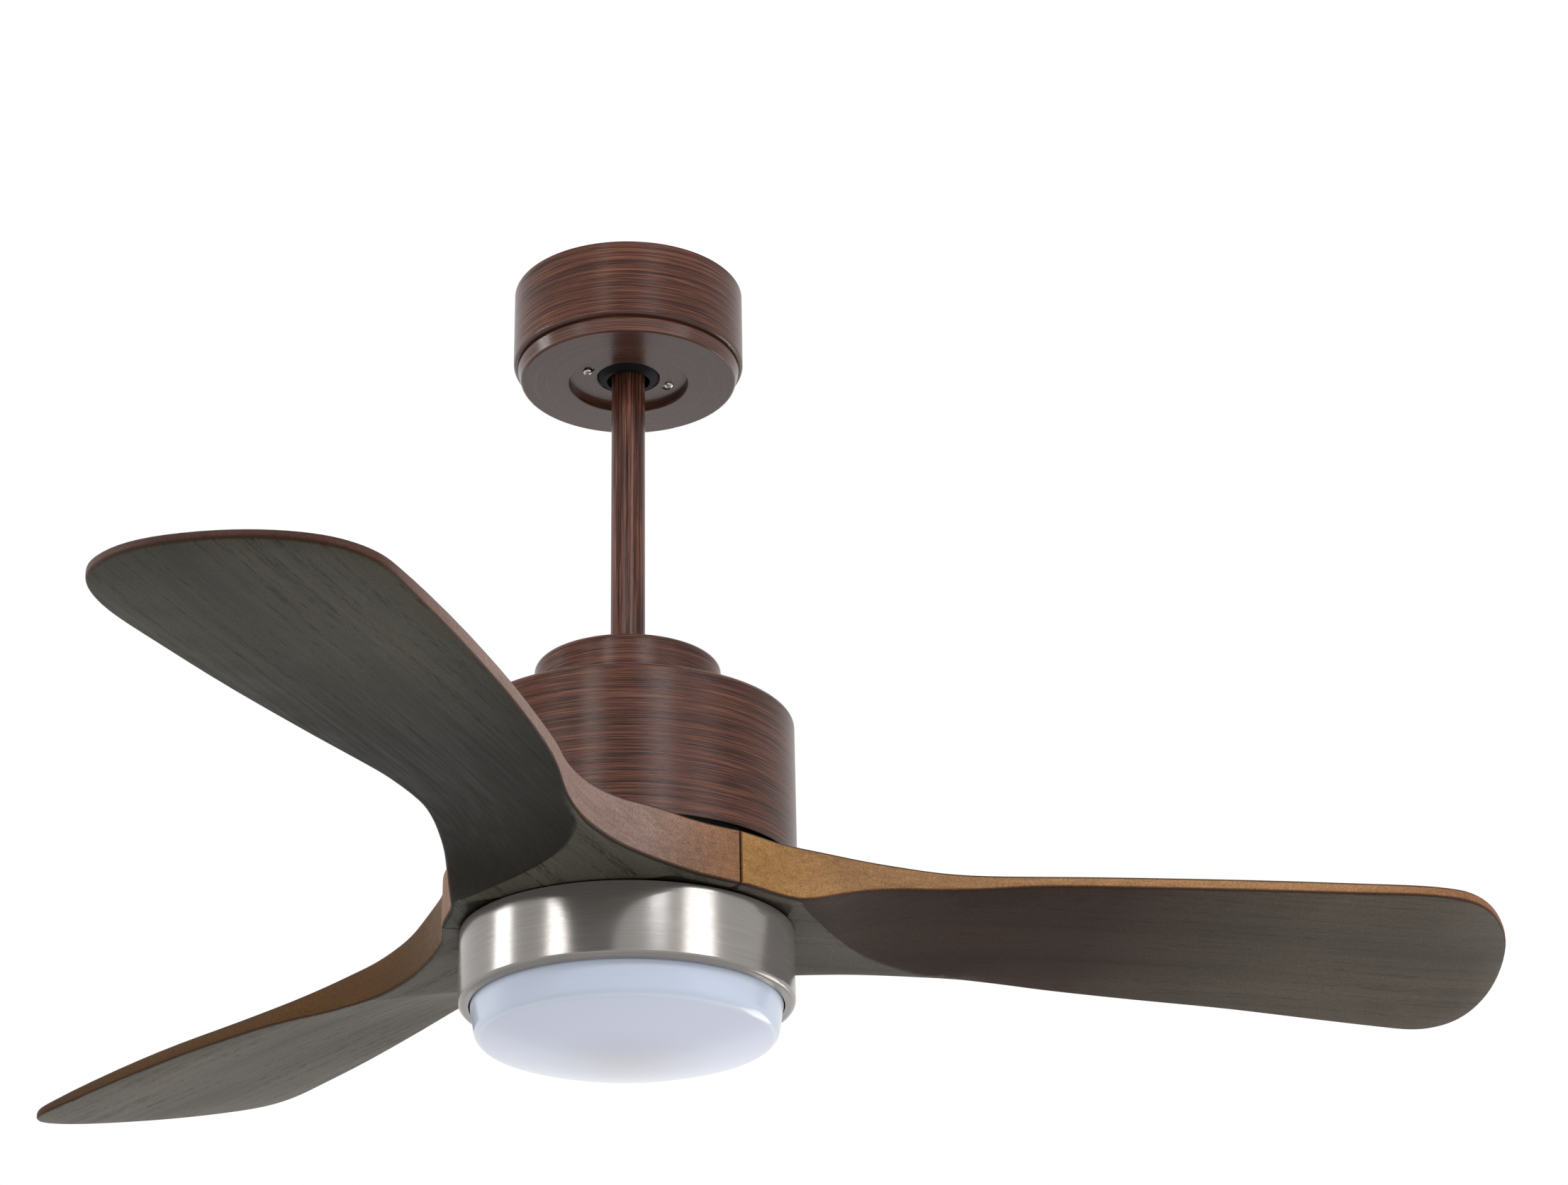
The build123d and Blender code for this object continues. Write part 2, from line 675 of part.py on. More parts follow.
# Magnets, round the inside of the bell
magnet_gap = 2 * rotor_bore * sin(radians(magnet_gap_angle / 2))
with BuildPart() as rotor_magnets:
    with BuildSketch(Plane.XY.offset(stator_z - stator_height / 2)):
        Circle(rotor_bore)
        Circle(rotor_bore - magnet_thick, mode=Mode.SUBTRACT)
        with PolarLocations(rotor_bore, magnet_count):
            Rectangle(4 * magnet_thick, magnet_gap, mode=Mode.SUBTRACT)
    extrude(amount=stator_height)
save(rotor_magnets.part, "rotor_magnets")

# Blade: carved from a plank that is as thick as the hub, axis along X, leading edge on -Y.
# Arcs give the angle and the share of the hub's radius. Outlines on the hub give the place on X, the others
# the share of the span from the waist to the tip, and then the offset from the blade's axis.
blade_span = blade_tip_radius - blade_waist
hub_leading_arc = ((-55.0, 1.0), (-45.4, 1.02), (-37.9, 1.09), (-31.7, 1.18))
hub_leading_outline = ((166.0, -77.5), (196.0, -69.5))
hub_trailing_outline = ((215.0, 63.5), (185.0, 67.7), (160.0, 74.3))
hub_trailing_arc = ((30.6, 1.15), (35.8, 1.08), (41.6, 1.025), (49.0, 1.0))
leading_outline = (
    (0.0, -62.5), (0.13, -68.0), (0.22, -75.5), (0.34, -84.0), (0.455, -91.5), (0.57, -97.7), (0.685, -103.0),
    (0.79, -105.5),
)
tip_outline = (
    (0.864, -96.0), (0.92, -71.5), (0.961, -38.5), (0.988, 1.5), (1.0, 38.0), (0.997, 69.5), (0.975, 95.0),
)
trailing_outline = (
    (0.93, 109.0), (0.876, 110.5), (0.78, 108.0), (0.684, 105.0), (0.57, 100.5), (0.455, 96.0), (0.337, 89.5),
    (0.22, 80.0), (0.13, 69.0), (0.035, 62.5),
)


def on_hub(angle, share=1.0):
    return (share * hub_radius * cos(radians(angle)), share * hub_radius * sin(radians(angle)))


def on_span(points):
    return [(blade_waist + share * blade_span, offset_y) for share, offset_y in points]


# Stations of the carved faces: place on X, leading and trailing offsets there, thickness of the leading
# and trailing walls, where the lower and the upper carving meet the flat, and the drop of the trailing edge
# below the plank. Walls near the hub are shares of its thickness.
hub_stations = (
    (loft_start, -97.0, 91.0, 0.988, 0.993, -91.0, 86.0, 0.0),
    (140.0, -86.5, 81.0, 0.807, 0.985, -47.0, 70.0, 0.4),
    (166.0, -77.5, 73.0, 0.602, 0.923, -8.0, 52.0, 0.8),
    (196.0, -69.5, 66.0, 0.453, 0.831, 25.0, 30.0, 1.2),
    (blade_waist, -62.5, 62.5, 0.342, 0.74, 51.5, 2.0, 1.4),
)
span_stations = (
    (0.073, -64.5, 64.5, 11.2, 27.5, 64.5, -22.0, 1.0),
    (0.13, -68.0, 69.0, 9.4, 23.5, 69.0, -38.0, 0.4),
    (0.22, -75.5, 80.0, 8.8, 16.5, 80.0, -57.0, -0.6),
    (0.34, -84.0, 89.5, 9.2, 13.0, 89.5, -74.0, -1.0),
    (0.57, -97.7, 100.5, 9.4, 12.0, 100.5, -91.0, -0.6),
    (0.8, -105.5, 108.5, 8.8, 10.5, 108.5, -99.0, 3.0),
    (0.9, -107.5, 111.5, 7.0, 8.5, 111.5, -102.0, 4.6),
    (1.06, -110.0, 115.0, 3.6, 5.0, 115.0, -105.0, 5.0),
)
stations = []
for x, lead, trail, lead_share, trail_share, *station in hub_stations:
    stations.append((x, lead, trail, lead_share * hub_thickness, trail_share * hub_thickness, *station))
for share, *station in span_stations:
    stations.append((blade_waist + share * blade_span, *station))


def station_at(x):
    # Smooth values of a station at any place on X, between the four stations round it
    after = min(max(1, sum(1 for row in stations if row[0] <= x)), len(stations) - 1)
    low = stations[after - 1]
    high = stations[after]
    below = stations[max(after - 2, 0)]
    above = stations[min(after + 1, len(stations) - 1)]
    step = high[0] - low[0]
    t = (x - low[0]) / step
    row = []
    for column in range(1, len(low)):
        start = step * (high[column] - below[column]) / (high[0] - below[0])
        end = step * (above[column] - low[column]) / (above[0] - low[0])
        value = (2 * t**3 - 3 * t**2 + 1) * low[column] + (t**3 - 2 * t**2 + t) * start
        value += (3 * t**2 - 2 * t**3) * high[column] + (t**3 - t**2) * end
        row.append(value)
    return row


loft_length = stations[-1][0] - loft_start
with BuildPart() as blade:
    for number in range(loft_steps + 1):
        x = loft_start + loft_length * number / loft_steps
        lead, trail, lead_wall, trail_wall, low_crease, high_crease, drop = station_at(x)
        droop = blade_droop * (x - loft_start) / (blade_tip_radius - loft_start)
        top = hub_top_z - droop
        bottom = hub_bottom_z - drop - droop
        low_slope = (top - lead_wall - bottom) / (low_crease - lead)
        high_slope = (top - trail_wall - bottom) / (trail - high_crease)
        with BuildSketch(Plane.YZ.offset(x)):
            with BuildLine():
                Polyline(
                    (lead - loft_margin, top),
                    (high_crease, top),
                    (trail + loft_margin, bottom + trail_wall - high_slope * loft_margin),
                    (trail + loft_margin, bottom),
                    (low_crease, bottom),
                    (lead - loft_margin, top - lead_wall + low_slope * loft_margin),
                    close=True,
                )
            make_face()
    loft()
    with BuildSketch(Plane.XY.offset(hub_bottom_z)):
        with Locations((loft_start / 2, 0)):
            Rectangle(loft_start, 4 * hub_radius)
    extrude(amount=hub_thickness)
    with BuildSketch(Plane.XY.offset(hub_bottom_z - hub_thickness)) as planform:
        with BuildLine():
            Spline(
                on_hub(seam_angle - 120),
                *[on_hub(angle, share) for angle, share in hub_leading_arc],
                *hub_leading_outline,
                *on_span(leading_outline),
                *on_span(tip_outline),
                *on_span(trailing_outline),
                *hub_trailing_outline,
                *[on_hub(angle, share) for angle, share in hub_trailing_arc],
                on_hub(seam_angle),
            )
            Polyline(on_hub(seam_angle), (0, 0), on_hub(seam_angle - 120))
        make_face()
        for seam in (seam_angle, seam_angle - 120):
            with Locations((0, 0)):
                Rectangle(3 * hub_radius, seam_gap, rotation=seam, mode=Mode.SUBTRACT)
        Circle(hub_hole_radius, mode=Mode.SUBTRACT)
        with PolarLocations(blade_screw_circle, 3, -blade_screw_spread, 2 * blade_screw_spread,
                            endpoint=True):
            Circle(blade_screw_radius + screw_fit, mode=Mode.SUBTRACT)
    extrude(amount=3 * hub_thickness, mode=Mode.INTERSECT)
    with BuildSketch(Plane.XY.offset(hub_bottom_z)):
        Circle(clamp_radius + clamp_clearance)
    extrude(amount=clamp_recess, mode=Mode.SUBTRACT)

for number in range(blade_count):
    copy = blade.part.rotate(Axis.Z, blade_rest_angle + number * 360 / blade_count)
    save(copy, "blade_" + str(number + 1))

# Clamp plate in the recess under the blades, and the screws that hold blades and plate to the rotor base
with BuildPart() as blade_clamp:
    with BuildSketch(Plane.XY.offset(clamp_top_z)):
        Circle(clamp_radius)
        Circle(clamp_hole_radius, mode=Mode.SUBTRACT)
        with PolarLocations(0, blade_count, start_angle=blade_rest_angle):
            with PolarLocations(blade_screw_circle, 3, -blade_screw_spread, 2 * blade_screw_spread,
                                endpoint=True):
                Circle(blade_screw_radius + screw_fit, mode=Mode.SUBTRACT)
    extrude(amount=-clamp_thick)
save(blade_clamp.part, "blade_clamp")

with BuildPart() as blade_screws:
    with BuildSketch(Plane.XY.offset(clamp_top_z - clamp_thick)):
        with PolarLocations(0, blade_count, start_angle=blade_rest_angle):
            with PolarLocations(blade_screw_circle, 3, -blade_screw_spread, 2 * blade_screw_spread,
                                endpoint=True):
                Circle(blade_screw_radius)
    extrude(amount=clamp_thick + hub_thickness - clamp_recess + blade_screw_grip)
    with BuildSketch(Plane.XY.offset(clamp_top_z - clamp_thick)):
        with PolarLocations(0, blade_count, start_angle=blade_rest_angle):
            with PolarLocations(blade_screw_circle, 3, -blade_screw_spread, 2 * blade_screw_spread,
                                endpoint=True):
                Circle(blade_head_radius)
    extrude(amount=-blade_head_height)
save(blade_screws.part, "blade_screws")

# Light ring: a band with a lip above, for the pan, and a rolled lip below, round the diffuser
with BuildPart() as light_ring:
    with BuildSketch(Plane.XZ) as band_profile:
        with BuildLine():
            Polyline(
                (ring_radius - ring_top_lip, ring_top_z),
                (ring_radius, ring_top_z),
                (ring_radius, ring_bottom_z),
                (ring_mouth_radius, ring_bottom_z),
                (ring_mouth_radius, ring_bottom_z + ring_wall),
                (ring_radius - ring_wall, ring_bottom_z + ring_wall),
                (ring_radius - ring_wall, pan_z),
                (ring_radius - ring_top_lip, pan_z),
                close=True,
            )
        make_face()
        fillet_corner(band_profile, ring_radius, ring_bottom_z, ring_round)
        fillet_corner(
            band_profile,
            ring_radius - ring_wall,
            ring_bottom_z + ring_wall,
            ring_round - ring_wall,
        )
        fillet_corner(band_profile, ring_radius, ring_top_z, ring_wall / 2)
    revolve(axis=Axis.Z)
    with Locations((0, 0, ring_top_z)):
        with PolarLocations(ring_radius - ring_top_lip / 2, ring_screw_count):
            Hole(small_screw_radius + screw_fit, depth=ring_wall)
save(light_ring.part, "light_ring")

# Light pan, clamped on the shaft between two nuts
with BuildPart() as light_pan:
    with BuildSketch(Plane.XY.offset(pan_bottom_z)):
        Circle(ring_radius - ring_wall - pan_clearance)
        Circle(shaft_radius + screw_fit, mode=Mode.SUBTRACT)
        with PolarLocations(ring_radius - ring_top_lip / 2, ring_screw_count):
            Circle(small_screw_radius + screw_fit, mode=Mode.SUBTRACT)
    extrude(amount=pan_thick)
save(light_pan.part, "light_pan")

with BuildPart() as shaft_nuts:
    for level in (pan_z, pan_bottom_z - nut_height):
        with BuildSketch(Plane.XY.offset(level)):
            RegularPolygon(nut_radius, 6)
            Circle(shaft_radius + screw_fit, mode=Mode.SUBTRACT)
        extrude(amount=nut_height)
save(shaft_nuts.part, "shaft_nuts")

with BuildPart() as ring_screws:
    with BuildSketch(Plane.XY.offset(pan_bottom_z)):
        with PolarLocations(ring_radius - ring_top_lip / 2, ring_screw_count):
            Circle(small_screw_radius)
    extrude(amount=ring_top_z - pan_bottom_z)
    with BuildSketch(Plane.XY.offset(pan_bottom_z)):
        with PolarLocations(ring_radius - ring_top_lip / 2, ring_screw_count):
            Circle(small_head_radius)
    extrude(amount=-small_head_height)
save(ring_screws.part, "ring_screws")

# LED driver, standoffs, board and chips
with BuildPart() as led_driver:
    with BuildSketch(Plane.XY.offset(pan_bottom_z)):
        with Locations((0, driver_offset)):
            RectangleRounded(driver_length, driver_width, driver_round)
    extrude(amount=-driver_height)
save(led_driver.part, "led_driver")

with BuildPart() as led_standoffs:
    with BuildSketch(Plane.XY.offset(board_z)):
        with PolarLocations(standoff_circle, standoff_count, start_angle=standoff_turn):
            RegularPolygon(standoff_radius, 6)
    extrude(amount=board_drop)
save(led_standoffs.part, "led_standoffs")

with BuildPart() as led_board:
    with BuildSketch(Plane.XY.offset(board_z)):
        Circle(board_radius)
        Circle(shaft_radius, mode=Mode.SUBTRACT)
    extrude(amount=-board_thick)
save(led_board.part, "led_board")

with BuildPart() as led_chips:
    with BuildSketch(Plane.XY.offset(board_z - board_thick)):
        for share, chip_count in zip(chip_shares, chip_counts):
            with PolarLocations(share * board_radius, chip_count):
                Rectangle(chip_size, chip_size)
    extrude(amount=-chip_height)
save(led_chips.part, "led_chips")

# Diffuser clips: strips on the pan, with ledges that the diffuser's lugs turn onto
lug_radius = diffuser_radius - diffuser_wall - lug_reach
clip_radius = lug_radius - clip_inset + clip_sheet
with BuildPart() as diffuser_clips:
    with BuildSketch(Plane.XZ) as clip_profile:
        ring_profile(clip_radius - clip_sheet, clip_radius, clip_bottom_z, pan_bottom_z)
        ring_profile(clip_radius - clip_sheet, lug_radius + clip_overlap, clip_bottom_z, clip_ledge_z)
    for number in range(lug_count):
        start = lug_turn + number * 360 / lug_count - clip_angle / 2
        revolve(
            clip_profile.sketch.rotate(Axis.Z, start),
            axis=Axis.Z,
            revolution_arc=clip_angle,
        )
save(diffuser_clips.part, "diffuser_clips")

# Diffuser: an opal bowl with tapered sides, a shallow dome and three lugs inside its rim
dome_rim_radius = diffuser_radius - diffuser_taper
dome_rim_z = diffuser_bottom_z + diffuser_sag
dome_radius = (dome_rim_radius**2 + diffuser_sag**2) / (2 * diffuser_sag)
with BuildPart() as diffuser:
    with BuildSketch(Plane.XZ) as bowl_profile:
        with BuildLine():
            Line((0, diffuser_rim_z), (diffuser_radius, diffuser_rim_z))
            Line((diffuser_radius, diffuser_rim_z), (diffuser_radius, ring_bottom_z))
            Line((diffuser_radius, ring_bottom_z), (dome_rim_radius, dome_rim_z))
            RadiusArc((dome_rim_radius, dome_rim_z), (0, diffuser_bottom_z), dome_radius)
            Line((0, diffuser_bottom_z), (0, diffuser_rim_z))
        make_face()
        fillet_corner(bowl_profile, diffuser_radius, ring_bottom_z, diffuser_round)
        fillet_corner(bowl_profile, dome_rim_radius, dome_rim_z, diffuser_round)
    revolve(axis=Axis.Z)
    offset(amount=-diffuser_wall, openings=diffuser.faces().sort_by(Axis.Z)[-1])
    with BuildSketch(Plane.XZ) as lug_profile:
        ring_profile(lug_radius, diffuser_radius - diffuser_wall / 2, lug_z, diffuser_rim_z)
    for number in range(lug_count):
        start = lug_turn + number * 360 / lug_count - lug_angle / 2
        revolve(
            lug_profile.sketch.rotate(Axis.Z, start),
            axis=Axis.Z,
            revolution_arc=lug_angle,
        )
save(diffuser.part, "diffuser")
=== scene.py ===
import math

import bmesh
import bpy
from mathutils import Matrix, Vector
from mathutils.kdtree import KDTree


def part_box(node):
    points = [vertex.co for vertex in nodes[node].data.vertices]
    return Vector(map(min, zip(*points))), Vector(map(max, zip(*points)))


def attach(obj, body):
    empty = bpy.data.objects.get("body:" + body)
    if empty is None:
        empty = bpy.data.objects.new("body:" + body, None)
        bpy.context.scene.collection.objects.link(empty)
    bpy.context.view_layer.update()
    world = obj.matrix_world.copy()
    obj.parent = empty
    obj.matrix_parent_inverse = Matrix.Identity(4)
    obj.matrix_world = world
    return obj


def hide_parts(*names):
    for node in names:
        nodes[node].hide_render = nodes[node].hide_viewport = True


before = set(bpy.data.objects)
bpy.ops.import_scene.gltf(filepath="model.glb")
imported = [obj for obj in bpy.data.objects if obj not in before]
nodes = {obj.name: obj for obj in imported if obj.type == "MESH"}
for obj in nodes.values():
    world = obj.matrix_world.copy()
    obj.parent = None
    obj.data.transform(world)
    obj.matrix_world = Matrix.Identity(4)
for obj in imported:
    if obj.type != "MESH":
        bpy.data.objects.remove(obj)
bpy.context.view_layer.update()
print("frame in:", len(nodes), "nodes")


def srgb(r, g, b):  # a colour as it is seen, 0 to 255, as Blender wants it
    def linear(v):
        v = v / 255
        return v / 12.92 if v <= 0.04045 else ((v + 0.055) / 1.055) ** 2.4
    return (linear(r), linear(g), linear(b), 1)


# camera, under the fan and to its left
cameraSetup = {
    "standOff": 2.269, "below": 1.3191, "turn": -18.31,
    "yaw": 3.119, "pitch": 24.862, "roll": -1.193, "lens": 72.48, "sensor": 36, "nearest": 0.01,
}


def placeCamera(setup):
    yaw, pitch, roll, turn = (math.radians(setup[k]) for k in ("yaw", "pitch", "roll", "turn"))
    look = Vector((math.sin(yaw) * math.cos(pitch), math.cos(yaw) * math.cos(pitch), math.sin(pitch)))
    level = Vector((math.cos(yaw), -math.sin(yaw), 0))
    lift = level.cross(look)
    right = math.cos(roll) * level + math.sin(roll) * lift
    up = math.cos(roll) * lift - math.sin(roll) * level
    spin = Matrix.Rotation(turn, 4, "Z")
    axes = Matrix((right, up, -look)).transposed().to_4x4()
    data = bpy.data.cameras.new("photoCamera")
    data.lens = setup["lens"]
    data.sensor_width = setup["sensor"]
    data.sensor_fit = "HORIZONTAL"
    data.clip_start = setup["nearest"]
    camera = bpy.data.objects.new("photoCamera", data)
    bpy.context.scene.collection.objects.link(camera)
    camera.matrix_world = spin @ Matrix.Translation((0, -setup["standOff"], -setup["below"])) @ axes
    bpy.context.scene.camera = camera


placeCamera(cameraSetup)
print("camera placed")


# small helpers for node trees
def newNode(tree, kind, settings=None, inputs=None):
    node = tree.nodes.new(kind)
    for key, value in (settings or {}).items():
        setattr(node, key, value)
    for key, value in (inputs or {}).items():
        if isinstance(value, bpy.types.NodeSocket):
            tree.links.new(value, node.inputs[key])
        else:
            node.inputs[key].default_value = value
    return node


def mathNode(tree, operation, first, second=None, clamp=False):
    inputs = {0: first}
    if second is not None:
        inputs[1] = second
    return newNode(tree, "ShaderNodeMath", {"operation": operation, "use_clamp": clamp}, inputs).outputs[0]


def times(tree, first, second):
    return mathNode(tree, "MULTIPLY", first, second)


def xyz(tree, x=0.0, y=0.0, z=0.0):
    return newNode(tree, "ShaderNodeCombineXYZ", None, {0: x, 1: y, 2: z}).outputs[0]


def heightOf(tree, vector):
    return newNode(tree, "ShaderNodeSeparateXYZ", None, {0: vector}).outputs[2]


def rangeNode(tree, value, start, end=(0.0, 1.0), smooth=False):  # start and end are low and high
    return newNode(tree, "ShaderNodeMapRange", {"interpolation_type": "SMOOTHSTEP" if smooth else "LINEAR"}, {
        "Value": value, "From Min": start[0], "From Max": start[1], "To Min": end[0], "To Max": end[1],
    }).outputs[0]


def fadeIn(tree, value, start, strength=1.0):
    return rangeNode(tree, value, start, (0.0, strength), True)


def fadeOut(tree, value, start, strength=1.0):
    return rangeNode(tree, value, start, (strength, 0.0), True)


def rampNode(tree, factor, stops):
    node = newNode(tree, "ShaderNodeValToRGB", None, {0: factor})
    ramp = node.color_ramp
    for place, colour in stops[2:]:
        ramp.elements.new(place)
    for element, (place, colour) in zip(ramp.elements, stops):
        element.position = place
        element.color = colour
    return node.outputs[0]


def mixColour(tree, factor, first, second, blend="MIX"):
    node = newNode(tree, "ShaderNodeMix", {"data_type": "RGBA", "blend_type": blend})
    for socket, value in ((node.inputs[0], factor), (node.inputs[6], first), (node.inputs[7], second)):
        if isinstance(value, bpy.types.NodeSocket):
            tree.links.new(value, socket)
        else:
            socket.default_value = value
    return node.outputs[2]


def dimmed(tree, colour, value):  # colour times a grey
    grey = newNode(tree, "ShaderNodeCombineColor", None, {0: value, 1: value, 2: value}).outputs[0]
    return mixColour(tree, 1.0, colour, grey, "MULTIPLY")


def stretchedNoise(tree, vector, stretch, detail, roughness):
    drawn = newNode(tree, "ShaderNodeMapping", None, {"Vector": vector, "Scale": stretch}).outputs[0]
    return newNode(tree, "ShaderNodeTexNoise", None, {
        "Vector": drawn, "Scale": 1.0, "Detail": detail, "Roughness": roughness,
    }).outputs[0]


def newGroup(name, inputs, outputs):
    tree = bpy.data.node_groups.new(name, "ShaderNodeTree")
    for label, kind, value in inputs:
        socket = tree.interface.new_socket(label, in_out="INPUT", socket_type=kind)
        socket.default_value = value
    for label, kind in outputs:
        tree.interface.new_socket(label, in_out="OUTPUT", socket_type=kind)
    return tree, tree.nodes.new("NodeGroupInput"), tree.nodes.new("NodeGroupOutput")


def placeGroup(tree, group, inputs=None):
    return newNode(tree, "ShaderNodeGroup", {"node_tree": group}, inputs)


def newMaterial(name, plain):
    material = bpy.data.materials.new(name)
    material.use_nodes = True
    tree = material.node_tree
    shader = tree.nodes["Principled BSDF"]
    for key, value in plain.items():
        shader.inputs[key].default_value = value
    return material, tree, shader


def addBump(tree, shader, strength, depth, height):
    bump = newNode(tree, "ShaderNodeBump", None, {"Strength": strength, "Distance": depth, "Height": height})
    tree.links.new(bump.outputs[0], shader.inputs["Normal"])


def dress(names, material):
    for name in names:
        for slot in nodes[name].material_slots:
            slot.material = material


# grain of the film: how far it is drawn along X, Y and Z, then detail and roughness of the noise
turnedSetup = {
    "Streaks": ((5, 5, 330), 2.0, 0.55),
    "Lines": ((16, 16, 1250), 3.0, 0.65),
    "Flecks": ((45, 45, 1900), 2.0, 0.55),
}
rodSetup = {
    "Streaks": ((150, 150, 5), 3.0, 0.6),
    "Lines": ((420, 420, 8), 3.0, 0.6),
    "Flecks": ((600, 600, 40), 2.0, 0.55),
}


def newGrainGroup(name, setup):
    tree, start, end = newGroup(name, [("Line Density", "NodeSocketFloat", 1.0)],
                                [(label, "NodeSocketFloat") for label in setup])
    place = newNode(tree, "ShaderNodeTexCoord").outputs["Object"]
    return tree, start.outputs[0], place, end


def fillGrain(tree, vector, setup, end):
    for label, (stretch, detail, roughness) in setup.items():
        tree.links.new(stretchedNoise(tree, vector, stretch, detail, roughness), end.inputs[label])
    return tree


# grain that runs round a turned piece: lines at one height on its walls, rings on its flat faces
def makeTurnedGrain(setup):
    tree, density, place, end = newGrainGroup("turnedGrain", setup)
    split = newNode(tree, "ShaderNodeSeparateXYZ", None, {0: place})
    x, y, z = split.outputs
    across = mathNode(tree, "SQRT", mathNode(tree, "ADD", times(tree, x, x), times(tree, y, y)))
    along = times(tree, mathNode(tree, "ADD", z, across), density)
    return fillGrain(tree, xyz(tree, x, y, along), setup, end)


# grain that runs straight along Z, for the rod
def makeRodGrain(setup):
    tree, density, place, end = newGrainGroup("rodGrain", setup)
    denser = newNode(tree, "ShaderNodeVectorMath", {"operation": "SCALE"}, {0: place, "Scale": density})
    return fillGrain(tree, denser.outputs[0], setup, end)


turnedGrain = makeTurnedGrain(turnedSetup)
rodGrain = makeRodGrain(rodSetup)

# wood-look film on the canopy, the cover, the housing and the rod
filmLook = {
    "shade": srgb(29, 13, 10), "body": srgb(76, 44, 34), "tan": srgb(123, 78, 61), "stops": (0.38, 0.5, 0.63),
    "density": 1.4, "streakShare": 0.24, "lineShare": 0.76, "fleckEnd": (0.3, 0.42), "fleckShare": 0.55,
    "shine": 0.18, "roughLines": (0.3, 0.7), "roughness": (0.21, 0.35), "bump": 0.22, "bumpDepth": 0.0006,
    "quiet": 0.6, "quietFrom": (0.9, 0.99), "faceTone": srgb(70, 50, 45),  # on faces that look straight down
    "coatRoughness": 0.2,
    "coat": [(0.0, 0.0), (0.12, 0.0), (0.3, 0.4), (0.85, 0.45), (1.0, 0.55)],  # from walls to such faces
}


def makeFilm(name, grain, look):
    material, tree, shader = newMaterial(name, {
        "Specular IOR Level": look["shine"], "Coat Roughness": look["coatRoughness"],
    })
    group = placeGroup(tree, grain, {"Line Density": look["density"]})
    blend = mathNode(tree, "ADD", times(tree, group.outputs["Streaks"], look["streakShare"]),
                     times(tree, group.outputs["Lines"], look["lineShare"]))
    base = rampNode(tree, blend, list(zip(look["stops"], (look["shade"], look["body"], look["tan"]))))
    fleck = fadeOut(tree, group.outputs["Flecks"], look["fleckEnd"], look["fleckShare"])
    colour = mixColour(tree, fleck, base, look["shade"])
    upward = heightOf(tree, newNode(tree, "ShaderNodeTexCoord").outputs["Normal"])
    downward = mathNode(tree, "MULTIPLY", upward, -1.0, True)
    quiet = fadeIn(tree, downward, look["quietFrom"], look["quiet"])
    colour = mixColour(tree, quiet, colour, look["faceTone"])
    tree.links.new(colour, shader.inputs["Base Color"])
    rough = rangeNode(tree, group.outputs["Lines"], look["roughLines"], look["roughness"])
    tree.links.new(rough, shader.inputs["Roughness"])
    addBump(tree, shader, look["bump"], look["bumpDepth"], blend)
    lacquer = rampNode(tree, downward, [(place, (v, v, v, 1)) for place, v in look["coat"]])
    tree.links.new(lacquer, shader.inputs["Coat Weight"])
    return material


dress(["canopy", "coupling_cover", "motor_housing"], makeFilm("woodFilm", turnedGrain, filmLook))
dress(["downrod"], makeFilm("rodFilm", rodGrain, filmLook))
print("film on the drums and the rod")

# planed wood along each blade: greyed faces with rows of dark pores, brown edges, dark seams at the hub, with
# painted shade on the carve near the hub, painted light on the flat hub faces and painted light and shade
# along the walls
plankSetup = {
    "figure": ((2.2, 26, 26), 2.0, 0.5), "fibres": ((9, 300, 300), 3.0, 0.6),
    "dashes": ((70, 820, 820), 1.0, 0.5), "rows": ((1.6, 190, 190), 1.0, 0.5),
    "speckle": ((700, 900, 900), 2.0, 0.6),
    "rowStart": (0.52, 0.62), "dashEnd": (0.42, 0.54),
    # how level a face lies where each begins and ends, from 0 on a wall to 1
    "edgeEnd": (0.5, 0.75), "rimStart": (0.2, 0.5), "rimEnd": (0.78, 0.93), "litFlatStart": (0.985, 0.998),
    "litFlatReach": (0.25, 0.31), "seamAngles": (57, -63), "seamReach": 0.15, "seamWidth": (0.0005, 0.0022),
}


